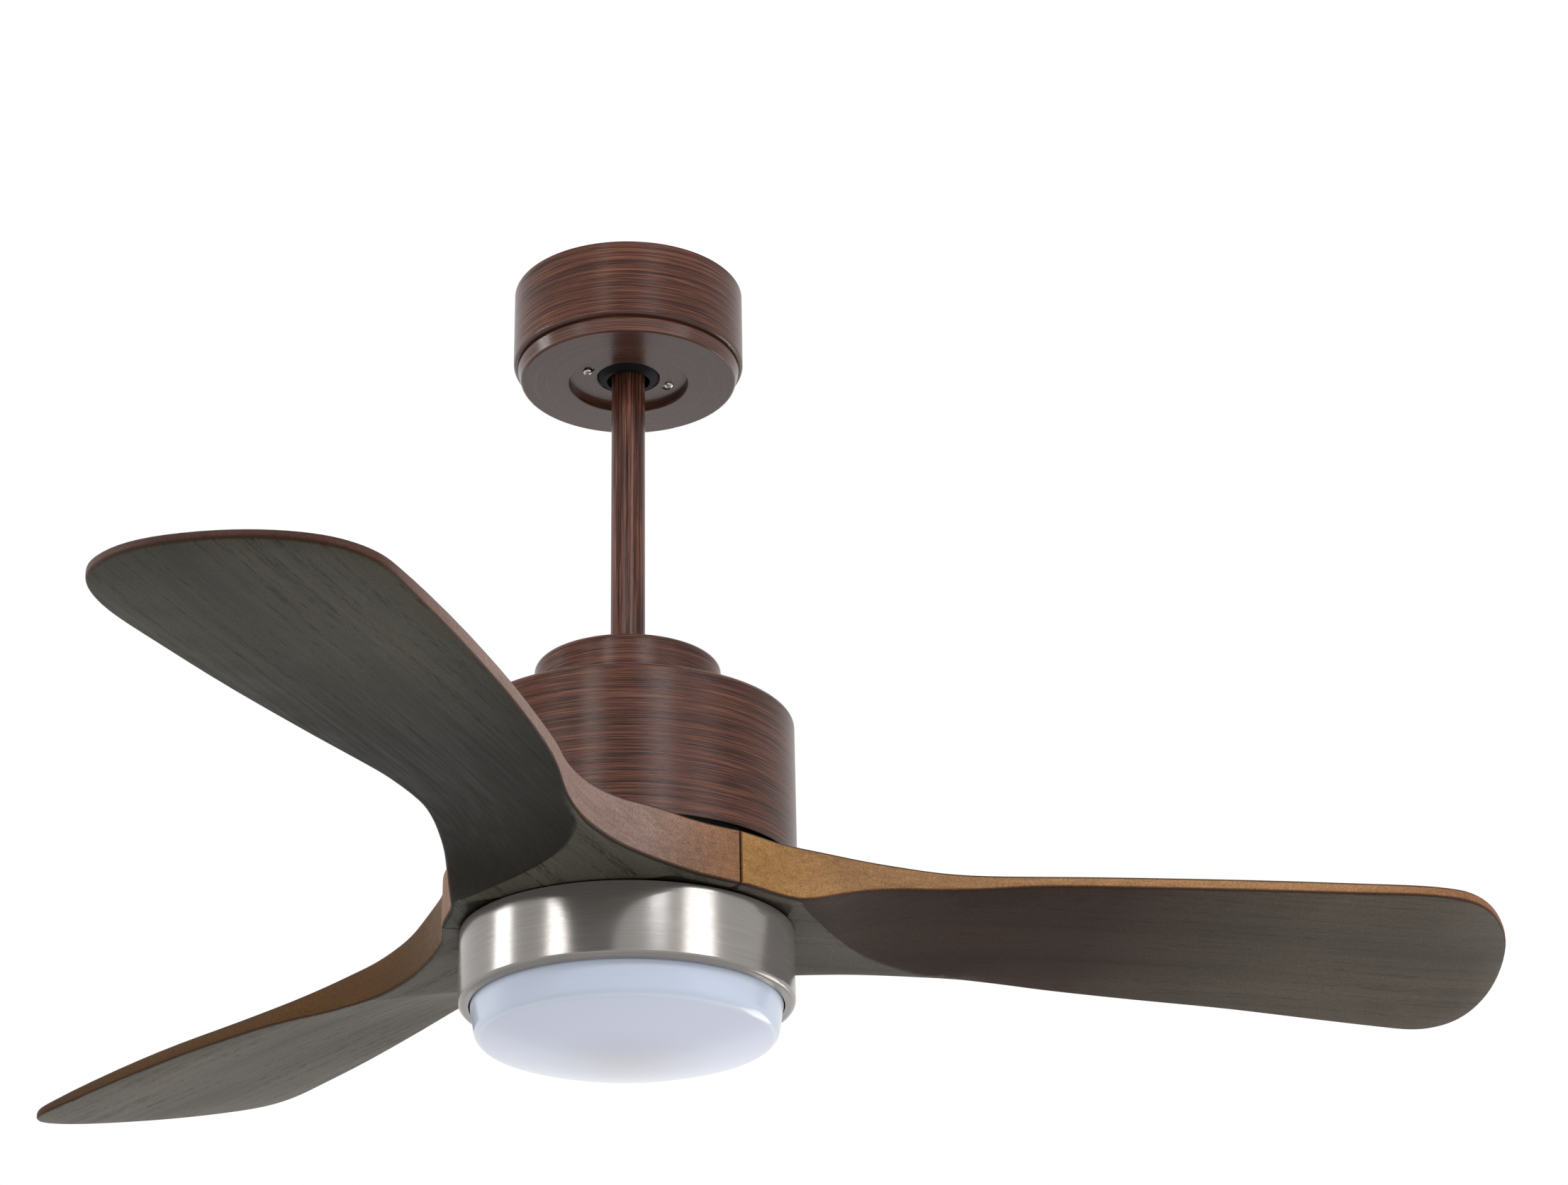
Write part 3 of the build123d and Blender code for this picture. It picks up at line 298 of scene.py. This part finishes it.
def makePlankGrain(setup):
    labels = ("Figure", "Fibres", "Pores", "Edge", "Rim", "Speckle", "Along", "Level", "Seam")
    tree, start, end = newGroup("plankGrain", [("Turn", "NodeSocketFloat", 0.0)],
                                [(label, "NodeSocketFloat") for label in labels])
    coords = newNode(tree, "ShaderNodeTexCoord")
    turned = newNode(tree, "ShaderNodeVectorRotate", {"rotation_type": "Z_AXIS"}, {
        "Vector": coords.outputs["Object"], "Angle": start.outputs[0],
    }).outputs[0]
    figure, fibres, dashes, rows, speckle = (
        stretchedNoise(tree, turned, *setup[name])
        for name in ("figure", "fibres", "dashes", "rows", "speckle"))
    pores = times(tree, fadeIn(tree, rows, setup["rowStart"]), fadeOut(tree, dashes, setup["dashEnd"]))
    facing = mathNode(tree, "ABSOLUTE", heightOf(tree, coords.outputs["Normal"]))
    edge = fadeOut(tree, facing, setup["edgeEnd"])
    rim = times(tree, fadeIn(tree, facing, setup["rimStart"]), fadeOut(tree, facing, setup["rimEnd"]))
    along = newNode(tree, "ShaderNodeSeparateXYZ", None, {0: turned}).outputs[0]
    # the flat faces of the hub, where painted light goes
    level = times(tree, fadeIn(tree, facing, setup["litFlatStart"]), fadeOut(tree, along, setup["litFlatReach"]))
    apart = []
    for angle in setup["seamAngles"]:
        across = (-math.sin(math.radians(angle)), math.cos(math.radians(angle)), 0)
        off = newNode(tree, "ShaderNodeVectorMath", {"operation": "DOT_PRODUCT"}, {0: turned, 1: across})
        apart.append(mathNode(tree, "ABSOLUTE", off.outputs["Value"]))
    seam = fadeOut(tree, mathNode(tree, "MINIMUM", *apart), setup["seamWidth"])
    seam = times(tree, seam, mathNode(tree, "LESS_THAN", along, setup["seamReach"]))
    for label, socket in zip(labels, (figure, fibres, pores, edge, rim, speckle, along, level, seam)):
        tree.links.new(socket, end.inputs[label])
    return tree


plankGrain = makePlankGrain(plankSetup)

bladeLook = {
    "pore": srgb(26, 23, 18), "rim": srgb(56, 35, 25), "rimShare": 0.8,
    "seam": srgb(38, 25, 16), "seamShare": 0.85,
    "shine": 0.1, "roughFibres": (0.3, 0.7), "roughness": (0.45, 0.6),
    "bump": 0.08, "bumpDepth": 0.0006, "poreDepth": 0.5,
    "reach": 0.72, "figureShare": 0.5, "fibreShare": 0.5,
    "faceFigure": ((0.34, 0.68), (0.72, 1.28)), "wallFigure": ((0.36, 0.66), (0.72, 1.2)),
    "grit": ((0.3, 0.7), (0.7, 1.3)),
    "turn": {"blade_1": -9, "blade_2": 111, "blade_3": 231},
    "rootShadeStops": (0.3, 0.5, 0.75),  # painted shade at the root twice, then the face, as shares of the reach
    # each blade's face tone is partly its own wood and partly painted light and shade: blade_2 lightest,
    # blade_3 darkest
    "face": {"blade_1": srgb(80, 72, 63), "blade_2": srgb(99, 93, 85), "blade_3": srgb(64, 60, 50)},
    # painted shade: each blade's face is darker on the carve near the hub
    "shadedRoot": {"blade_1": srgb(54, 41, 35), "blade_2": srgb(88, 82, 74), "blade_3": srgb(34, 30, 23)},
    # painted light: the flat hub faces are lighter than the carve
    "flat": {"blade_1": srgb(86, 81, 74), "blade_2": srgb(100, 95, 88), "blade_3": srgb(82, 79, 69)},
    "pores": {"blade_1": 0.3, "blade_2": 0.45, "blade_3": 0.6},
    "wallLightShadeStops": (0.12, 0.22, 0.72, 0.94, 0.985),  # hub, half way twice, near the tip and its end; along these the walls carry painted light and painted shade, darker towards the tip
    # each blade's wall tones: partly its own wood, partly painted light in the middle and painted shade
    # towards the tip
    "edge": {
        "blade_1": (srgb(160, 118, 71), srgb(153, 114, 78), srgb(142, 96, 68), srgb(84, 77, 70)),
        "blade_2": (srgb(98, 67, 32), srgb(83, 55, 24), srgb(64, 44, 27), srgb(60, 42, 28)),
        "blade_3": (srgb(140, 101, 74), srgb(146, 121, 111), srgb(82, 56, 47), srgb(70, 46, 38)),
    },
}


def makeBladeWood(name, look):
    material, tree, shader = newMaterial(name + "Wood", {"Specular IOR Level": look["shine"]})
    group = placeGroup(tree, plankGrain, {"Turn": math.radians(-look["turn"][name])})
    grain = group.outputs
    along = mathNode(tree, "DIVIDE", grain["Along"], look["reach"])
    blend = mathNode(tree, "ADD", times(tree, grain["Figure"], look["figureShare"]),
                     times(tree, grain["Fibres"], look["fibreShare"]))
    # painted shade near the hub, then painted light on the flat hub faces
    shadedRoot = look["shadedRoot"][name]
    face = rampNode(tree, along, list(zip(look["rootShadeStops"], (shadedRoot, shadedRoot, look["face"][name]))))
    face = mixColour(tree, grain["Level"], face, look["flat"][name])
    face = dimmed(tree, face, rangeNode(tree, blend, *look["faceFigure"]))
    face = mixColour(tree, times(tree, grain["Pores"], look["pores"][name]), face, look["pore"])
    # painted light and shade along the walls, darker towards the tip
    hub, half, tip, end = look["edge"][name]
    wall = rampNode(tree, along, list(zip(look["wallLightShadeStops"], (hub, half, half, tip, end))))
    wall = dimmed(tree, wall, rangeNode(tree, blend, *look["wallFigure"]))
    colour = mixColour(tree, grain["Edge"], face, wall)
    colour = mixColour(tree, times(tree, grain["Rim"], look["rimShare"]), colour, look["rim"])
    colour = mixColour(tree, times(tree, grain["Seam"], look["seamShare"]), colour, look["seam"])
    colour = dimmed(tree, colour, rangeNode(tree, grain["Speckle"], *look["grit"]))
    tree.links.new(colour, shader.inputs["Base Color"])
    rough = rangeNode(tree, grain["Fibres"], look["roughFibres"], look["roughness"])
    tree.links.new(rough, shader.inputs["Roughness"])
    height = mathNode(tree, "SUBTRACT", blend, times(tree, grain["Pores"], look["poreDepth"]))
    addBump(tree, shader, look["bump"], look["bumpDepth"], height)
    return material


# the blades' arrises are eased a little, as sanding leaves them
arrisSetup = {
    "sharpAngle": 32, "round": 0.0026, "steps": 3, "fromRadius": 0.135,
    "clear": 0.0055, "join": 0.0035, "spacing": 0.001, "weld": 1e-6,
}


def easeBlade(name, setup, material):
    work = bmesh.new()
    work.from_mesh(nodes[name].data)
    bmesh.ops.remove_doubles(work, verts=work.verts, dist=setup["weld"])
    limit = math.radians(setup["sharpAngle"])

    def isOut(vert):
        return vert.co.xy.length > setup["fromRadius"]

    def findArrises():
        return [edge for edge in work.edges if edge.is_manifold and edge.calc_face_angle() > limit
                and all(isOut(vert) for vert in edge.verts)]

    # small faces beside an arris would fold over when it is rounded, so they are merged first
    arrises = findArrises()
    onArris = {vert for edge in arrises for vert in edge.verts}
    spots = []
    for edge in arrises:
        first, last = (vert.co for vert in edge.verts)
        count = max(1, int((last - first).length / setup["spacing"]))
        spots += [first.lerp(last, step / count) for step in range(count + 1)]
    lookup = KDTree(len(spots))
    for index, spot in enumerate(spots):
        lookup.insert(spot, index)
    lookup.balance()
    beside = [vert for vert in work.verts if isOut(vert) and vert not in onArris
              and lookup.find(vert.co)[2] < setup["clear"]]
    bmesh.ops.dissolve_verts(work, verts=beside)
    onArris = {vert for edge in findArrises() for vert in edge.verts}
    bmesh.ops.remove_doubles(work, verts=[vert for vert in work.verts if vert in onArris], dist=setup["join"])
    bmesh.ops.triangulate(work, faces=[face for face in work.faces if len(face.verts) > 4])
    bmesh.ops.bevel(
        work, geom=findArrises(), offset=setup["round"], offset_type="OFFSET", segments=setup["steps"],
        profile=0.5, affect="EDGES", clamp_overlap=False, miter_outer="ARC",
    )
    for face in work.faces:
        face.smooth = True
    mesh = bpy.data.meshes.new("eased_" + name)
    work.to_mesh(mesh)
    work.free()
    mesh.set_sharp_from_angle(angle=limit)
    mesh.materials.append(material)
    piece = bpy.data.objects.new("eased_" + name, mesh)
    bpy.context.scene.collection.objects.link(piece)
    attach(piece, "rotor")
    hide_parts(name)


for bladeName in ("blade_1", "blade_2", "blade_3"):
    easeBlade(bladeName, arrisSetup, makeBladeWood(bladeName, bladeLook))
print("wood on the blades")

# brushed nickel band: fine lines round it, under a satin lacquer
ringLook = {
    "body": srgb(150, 145, 141), "line": srgb(96, 91, 87), "lines": ((0.3, 0.7), (0.0, 0.4)), "density": 2.2,
    "metal": 0.5, "grain": 0.4, "roughness": ((0.0, 1.0), (0.11, 0.25)), "bump": 0.05, "bumpDepth": 0.0003,
}


def makeNickel(look):
    material, tree, shader = newMaterial("brushedNickel", {
        "Metallic": look["metal"], "Anisotropic": look["grain"],
    })
    group = placeGroup(tree, turnedGrain, {"Line Density": look["density"]})
    brushed = rangeNode(tree, group.outputs["Lines"], *look["lines"])
    tree.links.new(mixColour(tree, brushed, look["body"], look["line"]), shader.inputs["Base Color"])
    rough = rangeNode(tree, group.outputs["Streaks"], *look["roughness"])
    tree.links.new(rough, shader.inputs["Roughness"])
    addBump(tree, shader, look["bump"], look["bumpDepth"], group.outputs["Lines"])
    return material


dress(["light_ring"], makeNickel(ringLook))

# opal bowl: cool on its side, a painted highlight in a narrow ring where the side turns under, warmer towards
# the middle of its underside
opalLook = {
    # the edge colour is a painted highlight on the crease
    "side": srgb(206, 216, 236), "edge": srgb(224, 231, 244), "under": srgb(221, 227, 249),
    "middle": srgb(208, 207, 218), "edgeRadius": 0.1115, "edgeStop": 0.9,
    "stops": [(0.0, "middle"), (0.55, "under"), (0.878, "under"), (0.893, "edge"), (0.904, "side"),
              (1.0, "side")],
    "cloud": srgb(180, 186, 200), "cloudShare": 0.06, "clouds": ((9, 9, 9), 2.0, 0.5),
    "fine": ((700, 700, 700), 1.0, 0.5), "roughness": ((0.0, 1.0), (0.16, 0.24)),
    "coat": 0.25, "coatRoughness": 0.08,
}


def makeOpal(look):
    material, tree, shader = newMaterial("opalBowl", {
        "Coat Weight": look["coat"], "Coat Roughness": look["coatRoughness"],
    })
    place = newNode(tree, "ShaderNodeTexCoord").outputs["Object"]
    split = newNode(tree, "ShaderNodeSeparateXYZ", None, {0: place})
    flat = xyz(tree, split.outputs[0], split.outputs[1])
    across = newNode(tree, "ShaderNodeVectorMath", {"operation": "LENGTH"}, {0: flat}).outputs["Value"]
    out = mathNode(tree, "DIVIDE", across, look["edgeRadius"])
    stops = [(stop, look[tone]) for stop, tone in look["stops"]]
    body = rampNode(tree, times(tree, out, look["edgeStop"]), stops)
    cloud = times(tree, stretchedNoise(tree, place, *look["clouds"]), look["cloudShare"])
    tree.links.new(mixColour(tree, cloud, body, look["cloud"]), shader.inputs["Base Color"])
    rough = rangeNode(tree, stretchedNoise(tree, place, *look["fine"]), *look["roughness"])
    tree.links.new(rough, shader.inputs["Roughness"])
    return material


dress(["diffuser"], makeOpal(opalLook))
print("nickel and opal on the light")

# plain finishes of the parts inside, each with a little mottling
plainLooks = {
    "blackBall": {"parts": ["hanger_ball"], "colour": srgb(10, 10, 11), "second": srgb(16, 16, 17),
                  "roughness": 0.45, "metal": 0.0, "scale": 260, "shine": 0.12},
    "brightSteel": {"parts": ["hanger_pin", "ball_set_screw", "yoke_pin", "yoke_cotter",
                              "yoke_set_screws", "yoke_screws", "motor_shaft", "upper_bearing_inner",
                              "upper_bearing_outer", "upper_bearing_balls", "lower_bearing_inner",
                              "lower_bearing_outer", "lower_bearing_balls", "rotor_screws", "blade_screws",
                              "ring_screws", "shaft_nuts"],
                    "colour": srgb(196, 192, 186), "second": srgb(160, 156, 150), "roughness": 0.25,
                    "metal": 1.0, "scale": 400},
    "zincSteel": {"parts": ["ceiling_bracket", "motor_plate", "blade_clamp", "diffuser_clips"],
                  "colour": srgb(176, 178, 180), "second": srgb(142, 144, 148), "roughness": 0.38,
                  "metal": 1.0, "scale": 90},
    "whitePaint": {"parts": ["light_pan"], "colour": srgb(228, 228, 224), "second": srgb(214, 214, 210),
                   "roughness": 0.5, "metal": 0.0, "scale": 120},
    "darkPlastic": {"parts": ["receiver_box"], "colour": srgb(38, 38, 40), "second": srgb(50, 50, 52),
                    "roughness": 0.55, "metal": 0.0, "scale": 500},
    "castMetal": {"parts": ["yoke", "stator_sleeve", "rotor_shell", "rotor_base", "led_standoffs"],
                  "colour": srgb(150, 150, 150), "second": srgb(118, 118, 120), "roughness": 0.5,
                  "metal": 1.0, "scale": 220},
    "coreSteel": {"parts": ["stator_core"], "colour": srgb(84, 84, 88), "second": srgb(60, 60, 64),
                  "roughness": 0.5, "metal": 1.0, "scale": 300},
    "copperWire": {"parts": ["stator_coils"], "colour": srgb(196, 116, 70), "second": srgb(150, 80, 46),
                   "roughness": 0.35, "metal": 1.0, "scale": 700},
    "magnetBlack": {"parts": ["rotor_magnets"], "colour": srgb(46, 46, 48), "second": srgb(34, 34, 36),
                    "roughness": 0.5, "metal": 0.6, "scale": 240},
    "whitePlastic": {"parts": ["led_driver"], "colour": srgb(222, 222, 218), "second": srgb(206, 206, 202),
                     "roughness": 0.45, "metal": 0.0, "scale": 300},
    "boardWhite": {"parts": ["led_board"], "colour": srgb(236, 236, 232), "second": srgb(222, 222, 218),
                   "roughness": 0.4, "metal": 0.0, "scale": 180},
    "chipYellow": {"parts": ["led_chips"], "colour": srgb(232, 200, 96), "second": srgb(214, 178, 70),
                   "roughness": 0.35, "metal": 0.0, "scale": 900},
}
mottleSetup = {"detail": 3.0, "roughSpread": 0.12, "usualShine": 0.5}


def makeMottle(setup):
    tree, start, end = newGroup("mottle", [
        ("First", "NodeSocketColor", (1, 1, 1, 1)), ("Second", "NodeSocketColor", (1, 1, 1, 1)),
        ("Scale", "NodeSocketFloat", 100.0), ("Roughness", "NodeSocketFloat", 0.5),
    ], [("Colour", "NodeSocketColor"), ("Rough", "NodeSocketFloat")])
    place = newNode(tree, "ShaderNodeTexCoord").outputs["Object"]
    spots = newNode(tree, "ShaderNodeTexNoise", None, {
        "Vector": place, "Scale": start.outputs["Scale"], "Detail": setup["detail"],
    }).outputs[0]
    colour = mixColour(tree, spots, start.outputs["First"], start.outputs["Second"])
    rough = mathNode(tree, "ADD", start.outputs["Roughness"], times(tree, spots, setup["roughSpread"]))
    tree.links.new(colour, end.inputs["Colour"])
    tree.links.new(rough, end.inputs["Rough"])
    return tree


mottle = makeMottle(mottleSetup)


def makePlain(name, look):
    material, tree, shader = newMaterial(name, {
        "Metallic": look["metal"], "Specular IOR Level": look.get("shine", mottleSetup["usualShine"]),
    })
    group = placeGroup(tree, mottle, {
        "First": look["colour"], "Second": look["second"],
        "Scale": look["scale"], "Roughness": look["roughness"],
    })
    tree.links.new(group.outputs["Colour"], shader.inputs["Base Color"])
    tree.links.new(group.outputs["Rough"], shader.inputs["Roughness"])
    return material


for finish, look in plainLooks.items():
    dress(look["parts"], makePlain(finish, look))
print("finishes on the parts inside")

# the canopy's two screws: domed heads with a cross in each
screwSetup = {
    "headRadius": 0.004, "headHeight": 0.0026, "shankRadius": 0.002,
    "crossWidth": 0.001, "crossDepth": 0.0015, "crossTurn": 30, "smoothAngle": 35,
    "steel": {"colour": srgb(232, 228, 222), "second": srgb(184, 178, 172), "roughness": 0.22, "metal": 1.0,
              "scale": 900.0},
}
screwMesh = {"segments": 32, "rings": 16, "sides": 24, "cutterSize": 3.0, "cutterLift": 0.498}


def makeScrewTree(mesh):
    tree = bpy.data.node_groups.new("domedScrews", "GeometryNodeTree")
    for label, kind in (("Head Radius", "NodeSocketFloat"), ("Head Height", "NodeSocketFloat"),
                        ("Shank Radius", "NodeSocketFloat"), ("Shank Length", "NodeSocketFloat"),
                        ("Cross Width", "NodeSocketFloat"), ("Cross Depth", "NodeSocketFloat"),
                        ("Cross Turn", "NodeSocketFloat"), ("First Place", "NodeSocketVector"),
                        ("Step", "NodeSocketVector"), ("Finish", "NodeSocketMaterial")):
        tree.interface.new_socket(label, in_out="INPUT", socket_type=kind)
    tree.interface.new_socket("Screws", in_out="OUTPUT", socket_type="NodeSocketGeometry")
    start = tree.nodes.new("NodeGroupInput").outputs
    end = tree.nodes.new("NodeGroupOutput")

    def moved(shape, **inputs):
        return newNode(tree, "GeometryNodeTransform", None, {"Geometry": shape.outputs[0], **inputs})

    def cube(size):
        return newNode(tree, "GeometryNodeMeshCube", None, {"Size": size})

    ball = newNode(tree, "GeometryNodeMeshUVSphere", None, {
        "Segments": mesh["segments"], "Rings": mesh["rings"], "Radius": start["Head Radius"],
    })
    squat = mathNode(tree, "DIVIDE", start["Head Height"], start["Head Radius"])
    head = moved(ball, Scale=xyz(tree, 1.0, 1.0, squat))
    # the first cutter takes off the upper half, just clear of the ball's own middle ring
    wide = times(tree, start["Head Radius"], mesh["cutterSize"])
    lift = times(tree, wide, mesh["cutterLift"])
    cutters = [moved(cube(xyz(tree, wide, wide, wide)), Translation=xyz(tree, z=lift))]
    barSize = xyz(tree, start["Head Radius"], start["Cross Width"], times(tree, start["Cross Depth"], 2.0))
    barPlace = xyz(tree, z=times(tree, start["Head Height"], -1.0))
    for quarter in (0.0, math.pi / 2):
        turn = xyz(tree, z=mathNode(tree, "ADD", start["Cross Turn"], quarter))
        cutters.append(moved(cube(barSize), Translation=barPlace, Rotation=turn))
    for cutter in cutters:
        head = newNode(tree, "GeometryNodeMeshBoolean", {"operation": "DIFFERENCE", "solver": "EXACT"}, {
            "Mesh 1": head.outputs[0], "Mesh 2": cutter.outputs[0],
        })
    shank = newNode(tree, "GeometryNodeMeshCylinder", None, {
        "Vertices": mesh["sides"], "Radius": start["Shank Radius"], "Depth": start["Shank Length"],
    })
    shank = moved(shank, Translation=xyz(tree, z=times(tree, start["Shank Length"], 0.5)))
    screw = newNode(tree, "GeometryNodeJoinGeometry")
    tree.links.new(head.outputs[0], screw.inputs[0])
    tree.links.new(shank.outputs[0], screw.inputs[0])
    row = newNode(tree, "GeometryNodeMeshLine", None, {
        "Count": 2, "Start Location": start["First Place"], "Offset": start["Step"],
    })
    spread = newNode(tree, "GeometryNodeInstanceOnPoints", None, {
        "Points": row.outputs[0], "Instance": screw.outputs[0],
    })
    solid = newNode(tree, "GeometryNodeRealizeInstances", None, {"Geometry": spread.outputs[0]})
    dressed = newNode(tree, "GeometryNodeSetMaterial", None, {
        "Geometry": solid.outputs[0], "Material": start["Finish"],
    })
    tree.links.new(dressed.outputs[0], end.inputs[0])
    return tree


def makeCanopyScrews(setup):
    low, high = (Vector(corner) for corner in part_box("canopy_screws"))
    middle = (low + high) / 2
    seat = low.z + setup["headHeight"]
    reach = (high.x - low.x) / 2 - setup["headRadius"]
    values = {
        "Head Radius": setup["headRadius"], "Head Height": setup["headHeight"],
        "Shank Radius": setup["shankRadius"], "Shank Length": high.z - seat,
        "Cross Width": setup["crossWidth"], "Cross Depth": setup["crossDepth"],
        "Cross Turn": math.radians(setup["crossTurn"]), "First Place": (middle.x - reach, middle.y, seat),
        "Step": (2 * reach, 0, 0), "Finish": makePlain("screwSteel", setup["steel"]),
    }
    piece = bpy.data.objects.new("domedCanopyScrews", bpy.data.meshes.new("domedCanopyScrews"))
    bpy.context.scene.collection.objects.link(piece)
    modifier = piece.modifiers.new("screws", "NODES")
    modifier.node_group = makeScrewTree(screwMesh)
    for item in modifier.node_group.interface.items_tree:
        if item.in_out == "INPUT":
            modifier[item.identifier] = values[item.name]
    baked = bpy.data.meshes.new_from_object(piece.evaluated_get(bpy.context.evaluated_depsgraph_get()))
    piece.modifiers.clear()
    piece.data = baked
    for face in baked.polygons:
        face.use_smooth = True
    baked.set_sharp_from_angle(angle=math.radians(setup["smoothAngle"]))
    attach(piece, "mount")
    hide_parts("canopy_screws")


makeCanopyScrews(screwSetup)
print("screws in the canopy")

# floor, room and lamps
floorSetup = {
    "height": -2.45, "size": 12.0, "colour": srgb(238, 238, 236), "roughness": 0.8, "fade": (2.2, 5.6),
    "level": (1, 1, 0),
}
roomSetup = {"light": 0.6, "shown": 1.0, "colour": (1, 1, 1, 1)}
lampSetup = {
    "cameraSide": -108.3, "aim": (0, 0, -0.5),
    "lamps": {  # azimuth from the camera's side, distance, height, width, tall, watts, warmth
        "leftStrip": (-24, 2.6, 0.68, 0.22, 0.55, 13, srgb(255, 250, 244)),
        "rightStrip": (21, 2.6, 0.68, 0.5, 0.55, 17, srgb(246, 250, 255)),
        "sideStrip": (-91, 2.6, 0.22, 0.65, 0.35, 7, srgb(255, 255, 255)),
        "lowLeftStrip": (-47, 2.6, 0.21, 0.6, 0.32, 6, srgb(255, 255, 255)),
        "lowRightStrip": (49, 2.6, 0.21, 0.95, 0.32, 9, srgb(255, 255, 255)),
        "backFill": (125, 2.2, -1.7, 1.2, 1.0, 14, srgb(255, 250, 244)),
    },
}


def seenDirectly(tree):  # 1 for what the camera sees, also in a mirror or through glass
    path = newNode(tree, "ShaderNodeLightPath").outputs
    seen = mathNode(tree, "ADD", path["Is Camera Ray"], path["Is Glossy Ray"])
    return mathNode(tree, "ADD", seen, path["Is Transmission Ray"], True)


def mixShader(tree, factor, first, second):
    return newNode(tree, "ShaderNodeMixShader", None, {
        0: factor, 1: first.outputs[0], 2: second.outputs[0],
    })


# the floor runs out into the white of the room, and is open when seen from beneath
def makeFloor(setup, room):
    mesh = bpy.data.meshes.new("floor")
    half = setup["size"] / 2
    corners = [(x * half, y * half, setup["height"]) for x, y in ((-1, -1), (1, -1), (1, 1), (-1, 1))]
    mesh.from_pydata(corners, [], [(0, 1, 2, 3)])
    floor = bpy.data.objects.new("floor", mesh)
    bpy.context.scene.collection.objects.link(floor)
    material, tree, shader = newMaterial("paleFloor", {
        "Roughness": setup["roughness"], "Base Color": setup["colour"],
    })
    place = newNode(tree, "ShaderNodeTexCoord").outputs["Object"]
    flat = newNode(tree, "ShaderNodeVectorMath", {"operation": "MULTIPLY"}, {0: place, 1: setup["level"]})
    away = newNode(tree, "ShaderNodeVectorMath", {"operation": "LENGTH"}, {0: flat.outputs[0]})
    fade = times(tree, fadeIn(tree, away.outputs["Value"], setup["fade"]), seenDirectly(tree))
    white = newNode(tree, "ShaderNodeEmission", None, {"Color": room["colour"], "Strength": room["shown"]})
    beneath = newNode(tree, "ShaderNodeNewGeometry").outputs["Backfacing"]
    clear = newNode(tree, "ShaderNodeBsdfTransparent")
    both = mixShader(tree, beneath, mixShader(tree, fade, shader, white), clear)
    tree.links.new(both.outputs[0], tree.nodes["Material Output"].inputs[0])
    mesh.materials.append(material)


def makeRoom(setup):
    world = bpy.data.worlds.new("softRoom")
    bpy.context.scene.world = world
    world.use_nodes = True
    tree = world.node_tree
    tree.nodes.clear()
    shown, lit = (
        newNode(tree, "ShaderNodeBackground", None, {"Color": setup["colour"], "Strength": setup[strength]})
        for strength in ("shown", "light"))
    mix = mixShader(tree, seenDirectly(tree), lit, shown)
    newNode(tree, "ShaderNodeOutputWorld", None, {0: mix.outputs[0]})


def hangLamps(setup):
    for name, (azimuth, distance, height, width, tall, power, colour) in setup["lamps"].items():
        data = bpy.data.lights.new(name, "AREA")
        data.shape = "RECTANGLE"
        data.size = width
        data.size_y = tall
        data.energy = power
        data.color = colour[:3]
        lamp = bpy.data.objects.new(name, data)
        bpy.context.scene.collection.objects.link(lamp)
        angle = math.radians(setup["cameraSide"] + azimuth)
        place = Vector((distance * math.cos(angle), distance * math.sin(angle), height))
        aim = Vector(setup["aim"]) - place
        lamp.matrix_world = Matrix.Translation(place) @ aim.to_track_quat("-Z", "Y").to_matrix().to_4x4()


makeFloor(floorSetup, roomSetup)
makeRoom(roomSetup)
hangLamps(lampSetup)
bpy.context.scene.view_settings.view_transform = "Standard"
print("stage set")
